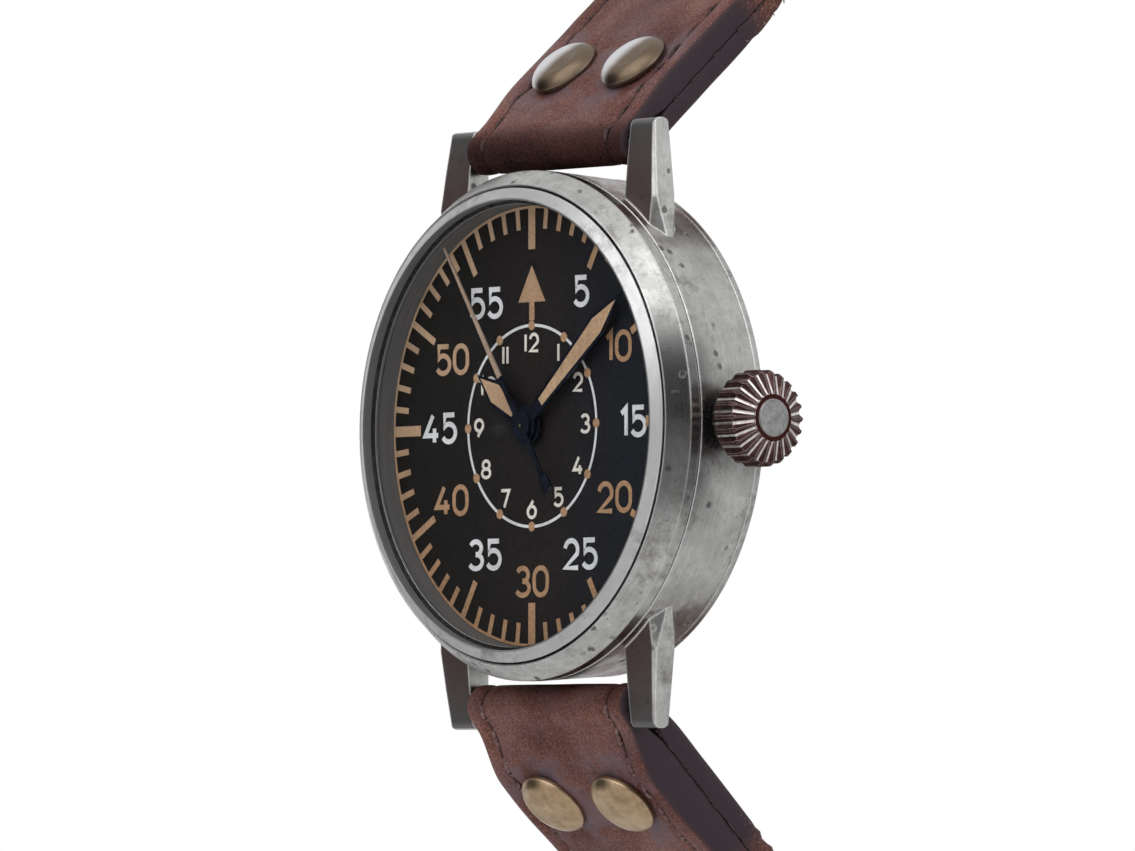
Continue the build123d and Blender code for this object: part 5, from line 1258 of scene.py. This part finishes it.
def punch(piece, *slots):
    """Cut slots out of a piece and keep the result as its mesh."""
    holder = bpy.data.objects.new("punch", outward_mesh("punch", slot_shape(*slots)))
    scene.collection.objects.link(holder)
    cut = piece.modifiers.new("punch", "BOOLEAN")
    cut.operation = "DIFFERENCE"
    cut.solver = "EXACT"
    cut.object = holder
    bpy.context.view_layer.update()
    ready = piece.evaluated_get(bpy.context.evaluated_depsgraph_get())
    mesh = bpy.data.meshes.new_from_object(ready)
    piece.modifiers.remove(cut)
    old = piece.data
    piece.data = mesh
    bpy.data.meshes.remove(old)
    bpy.data.objects.remove(holder)


hole_places = [halves["6"]["length"] - last_hole - hole_pitch * place for place in range(hole_count)]
for piece in (upper_6, lining_6):
    punch(piece, halves["6"], hole_places, hole_length, hole_width)
for piece in (upper_12, lining_12):
    punch(piece, halves["12"], [halves["12"]["length"]], tongue_slot_length, tongue_slot)
print("holes punched:", len(hole_places))

# %% [markdown]
# ## The fold round the buckle bar
#
# At its end the short half turns round the buckle's bar, with a slot for the tongue. The
# fold is two short rolls of leather, one on each side of the slot.

# %% Buckle fold
fold_out = (body_thickness - lining_thickness) / 2
buckle_fold = 1.7
roll_sides = 28
near, far = tongue_slot / 2 + 0.02, tail_width / 2 - 0.05
roll_rings = ((near, 0.86, 1.0), (near + 0.25, 1.0, 0.0), (far - 0.3, 1.0, 0.0), (far, 0.84, 1.0))
rolls, roll_side = ([], []), []
for side in (-1, 1):
    rings = []
    for across, share, cut in roll_rings:
        size = buckle_fold * share
        ring = []
        for step in range(roll_sides):
            turn = 2 * math.pi * step / roll_sides
            along = halves["12"]["length"] + size * math.cos(turn)
            ring.append(strap_spot(halves["12"], side * across, along, fold_out + size * math.sin(turn)))
        rings.append(ring)
        roll_side.extend([cut] * roll_sides)
    append_shape(rolls, skin(rings))
    roll_side.extend([1.0, 1.0])
# the rolls get an even painted shade through the fold mark
make_piece(
    "buckle_fold_leather", rolls, "strap_leather", "strap_12", "strap_leather",
    side_cut=roll_side, near_fold=[0.4] * len(roll_side),
)
print("rolls at the buckle bar:", 2)

# %% [markdown]
# ## Stitches
#
# Waxed reddish thread runs in the grooves, one stitch every 2.6 millimetres, and dips
# into the leather at both ends of each stitch, where painted shade darkens the groove. A
# stitch is a short bent tube; all stitches of a half are one mesh. The thread is darker
# towards the top. A second thread, black and finer, closes the side seam.

# %% Stitch helpers
def face_spot(half, across, along, lift):
    """A spot on the outer face; a negative along goes on round the fold."""
    if along >= 0:
        return Vector(strap_spot(half, across, along, front_face(half, along) + lift))
    turn = math.pi / 2 - along / fold_radius
    size = fold_radius + lift
    return Vector(strap_spot(half, across, size * math.cos(turn), size * math.sin(turn)))


def add_tube(shape, line, radii, sides=8):
    """Add a closed tube along a line of points."""
    rings = []
    for place, here in enumerate(line):
        way = (line[min(place + 1, len(line) - 1)] - line[max(place - 1, 0)]).normalized()
        first = way.orthogonal().normalized()
        second = way.cross(first)
        ring = []
        for step in range(sides):
            turn = 2 * math.pi * step / sides
            ring.append(tuple(here + radii[place] * (math.cos(turn) * first + math.sin(turn) * second)))
        rings.append(ring)
    append_shape(shape, skin(rings))


spot, shader = hard_part(
    "stitch_thread", (0.060, 0.028, 0.026), (0.26, 0.16, 0.15), 0.3, 0.03, Roughness=0.8,
)
# the thread is darker towards the top
darker_upward = times(between(*parts(spot, "Z"), -20 * mm, 20 * mm), 0.85)
plug(shader, Base_Color=blend(darker_upward, fed(shader, "Base Color"), (0.045, 0.019, 0.019)))
hard_part("seam_thread", (0.012, 0.008, 0.009), (0.035, 0.022, 0.022), 0.3, 0.02, Roughness=0.6)
stitch_pitch = 2.6
stitch_length = 1.9
stitch_radius = 0.19
stitch_steps = 8
stitch_start = -1.6
stitch_depth = 0.55
stitch_rise = 0.40
seam_start = 1.5
seam_end_gap = 12
print("stitch length in mm:", stitch_length)

# %% Sew both halves
def sew(name, half, body, last):
    """A row of stitches in both grooves of one half."""
    stitches = ([], [])
    chance = random.Random(half["length"])
    for side in (-1, 1):
        along = stitch_start
        while along + stitch_length < last:
            line, radii = [], []
            slip = chance.uniform(-0.28, 0.02)
            for step in range(stitch_steps + 1):
                share = step / stitch_steps
                place = along + stitch_length * share
                across = side * (half_width(half, place) - groove_inset + slip * share)
                lift = stitch_rise * math.sin(math.pi * share) ** 0.5 - stitch_depth
                line.append(face_spot(half, across, place, lift))
                radii.append(stitch_radius if 0 < step < stitch_steps else stitch_radius * 0.6)
            add_tube(stitches, line, radii)
            along += stitch_pitch + chance.uniform(-0.12, 0.12)
    make_piece(name, stitches, "stitch_thread", body)


sew("strap_12_stitches", halves["12"], "strap_12", halves["12"]["length"] - 5)
sew("strap_6_stitches", halves["6"], "strap_6", halves["6"]["length"] - 11)
seam_radii = [0.03, 0.075, 0.075, 0.03]
for name, half in halves.items():
    seam = ([], [])
    chance = random.Random(3)
    for side in (-1, 1):
        along = seam_start
        while along < half["length"] - seam_end_gap:
            across = side * (half_width(half, along) + 0.03)
            length = chance.uniform(0.8, 1.9)
            line = []
            for step in range(4):
                out = -0.02 + chance.uniform(-0.05, 0.05)
                line.append(Vector(strap_spot(half, across, along + length * step / 3, out)))
            add_tube(seam, line, seam_radii, 6)
            along += length + chance.uniform(0.3, half["seam_gap"])
    make_piece("strap_" + name + "_seam_thread", seam, "seam_thread", "strap_" + name)
print("stitched both halves")

# %% [markdown]
# ## Torn fibres
#
# Where the folded end was torn, loose fibres stand off the leather. They are thin curved
# tubes with random length and lean, from a fixed seed so that each run is the same.

# %% Fibres
fibre_count = 90
hard_part("raw_fibre", (0.10, 0.045, 0.036), (0.36, 0.25, 0.21), 0.4, 0.02, Roughness=0.8)
for name, half in halves.items():
    fibres = ([], [])
    chance = random.Random(11)
    for count in range(fibre_count):
        side = chance.choice((-1, 1)) if count % 4 else 0
        along = chance.uniform(14.5, turn_end)
        across = side * (half_width(half, along) - 0.25) if side else chance.uniform(-9.5, 9.5)
        out = -half["rear"] * chance.uniform(0.45, 0.80)
        if side == 0:
            along = turn_end + chance.uniform(-0.6, -0.1)
        start = Vector(strap_spot(half, across, along, out))
        tip_across = across + side * 0.3 + chance.uniform(-0.1, 0.1)
        tip_along = along + chance.uniform(-0.3, 0.5)
        lean = Vector(strap_spot(half, tip_across, tip_along, out + chance.uniform(-0.3, 0.15))) - start
        bend = Vector([chance.uniform(-0.1, 0.1) for axis in range(3)])
        line = [start - lean * 0.2, start + lean * 0.4 + bend * 0.3, start + lean + bend]
        add_tube(fibres, line, [0.07, 0.055, 0.03], 5)
    make_piece("strap_" + name + "_fibres", fibres, "raw_fibre", "strap_" + name)
print("fibres on both folded ends")

# %% [markdown]
# ## Keepers
#
# Two leather loops hold the strap's tail: one is sewn in place near the buckle and one
# slides. Each is a band five millimetres wide that goes once round the strap. A rounded
# section follows a rounded loop, and the last section is joined to the first.

# %% Keepers
keeper_length = 5.0
keeper_wall = 1.2
keeper_low = -1.35
keeper_tall = 7.2
keeper_turn = 1.1
keeper_round = 0.3


def rounded_box(right, top, left, low, radius, steps):
    """The outline of a box with round corners, turning left from its right side."""
    corners = [(right - radius, top - radius), (left + radius, top - radius)]
    corners += [(left + radius, low + radius), (right - radius, low + radius)]
    outline = []
    for quarter, corner in enumerate(corners):
        outline += arc(corner, (radius, radius), 90 * quarter, 90 * quarter + 90, steps)
    return outline


def build_keeper(name, back, body, node):
    """A leather loop round the strap, at a distance back from the strap's end."""
    half = halves["12"]
    place = half["length"] - back
    wide = half_width(half, place) + 0.30 + keeper_wall / 2
    low, high = keeper_low - keeper_wall / 2, keeper_low + keeper_tall + keeper_wall / 2
    loop = rounded_box(wide, high, -wide, low, keeper_turn, 6)
    ends, walls = keeper_length / 2, keeper_wall / 2
    section = rounded_box(ends, walls, -ends, -walls, keeper_round, 3)
    spots, faces, cut = [], [], []
    count = len(section)
    for step, (across, out) in enumerate(loop):
        way = (Vector(loop[(step + 1) % len(loop)]) - Vector(loop[step - 1])).normalized()
        for along, lift in section:
            spots.append(strap_spot(half, across + way.y * lift, place + along, out - way.x * lift))
            cut.append(ease((abs(along) - ends + 0.25) / 0.2))
        for edge in range(count):
            a, b = step * count, (step + 1) % len(loop) * count
            faces.append((a + edge, a + (edge + 1) % count, b + (edge + 1) % count, b + edge))
    piece = make_piece(name, (spots, faces), "strap_leather", body, "strap_leather", side_cut=cut)
    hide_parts(node)


build_keeper("fixed_keeper_leather", 9.5, "strap_12", "fixed_keeper")
build_keeper("loose_keeper_leather", 18.5, "keeper", "loose_keeper")
print("keepers made:", 2)
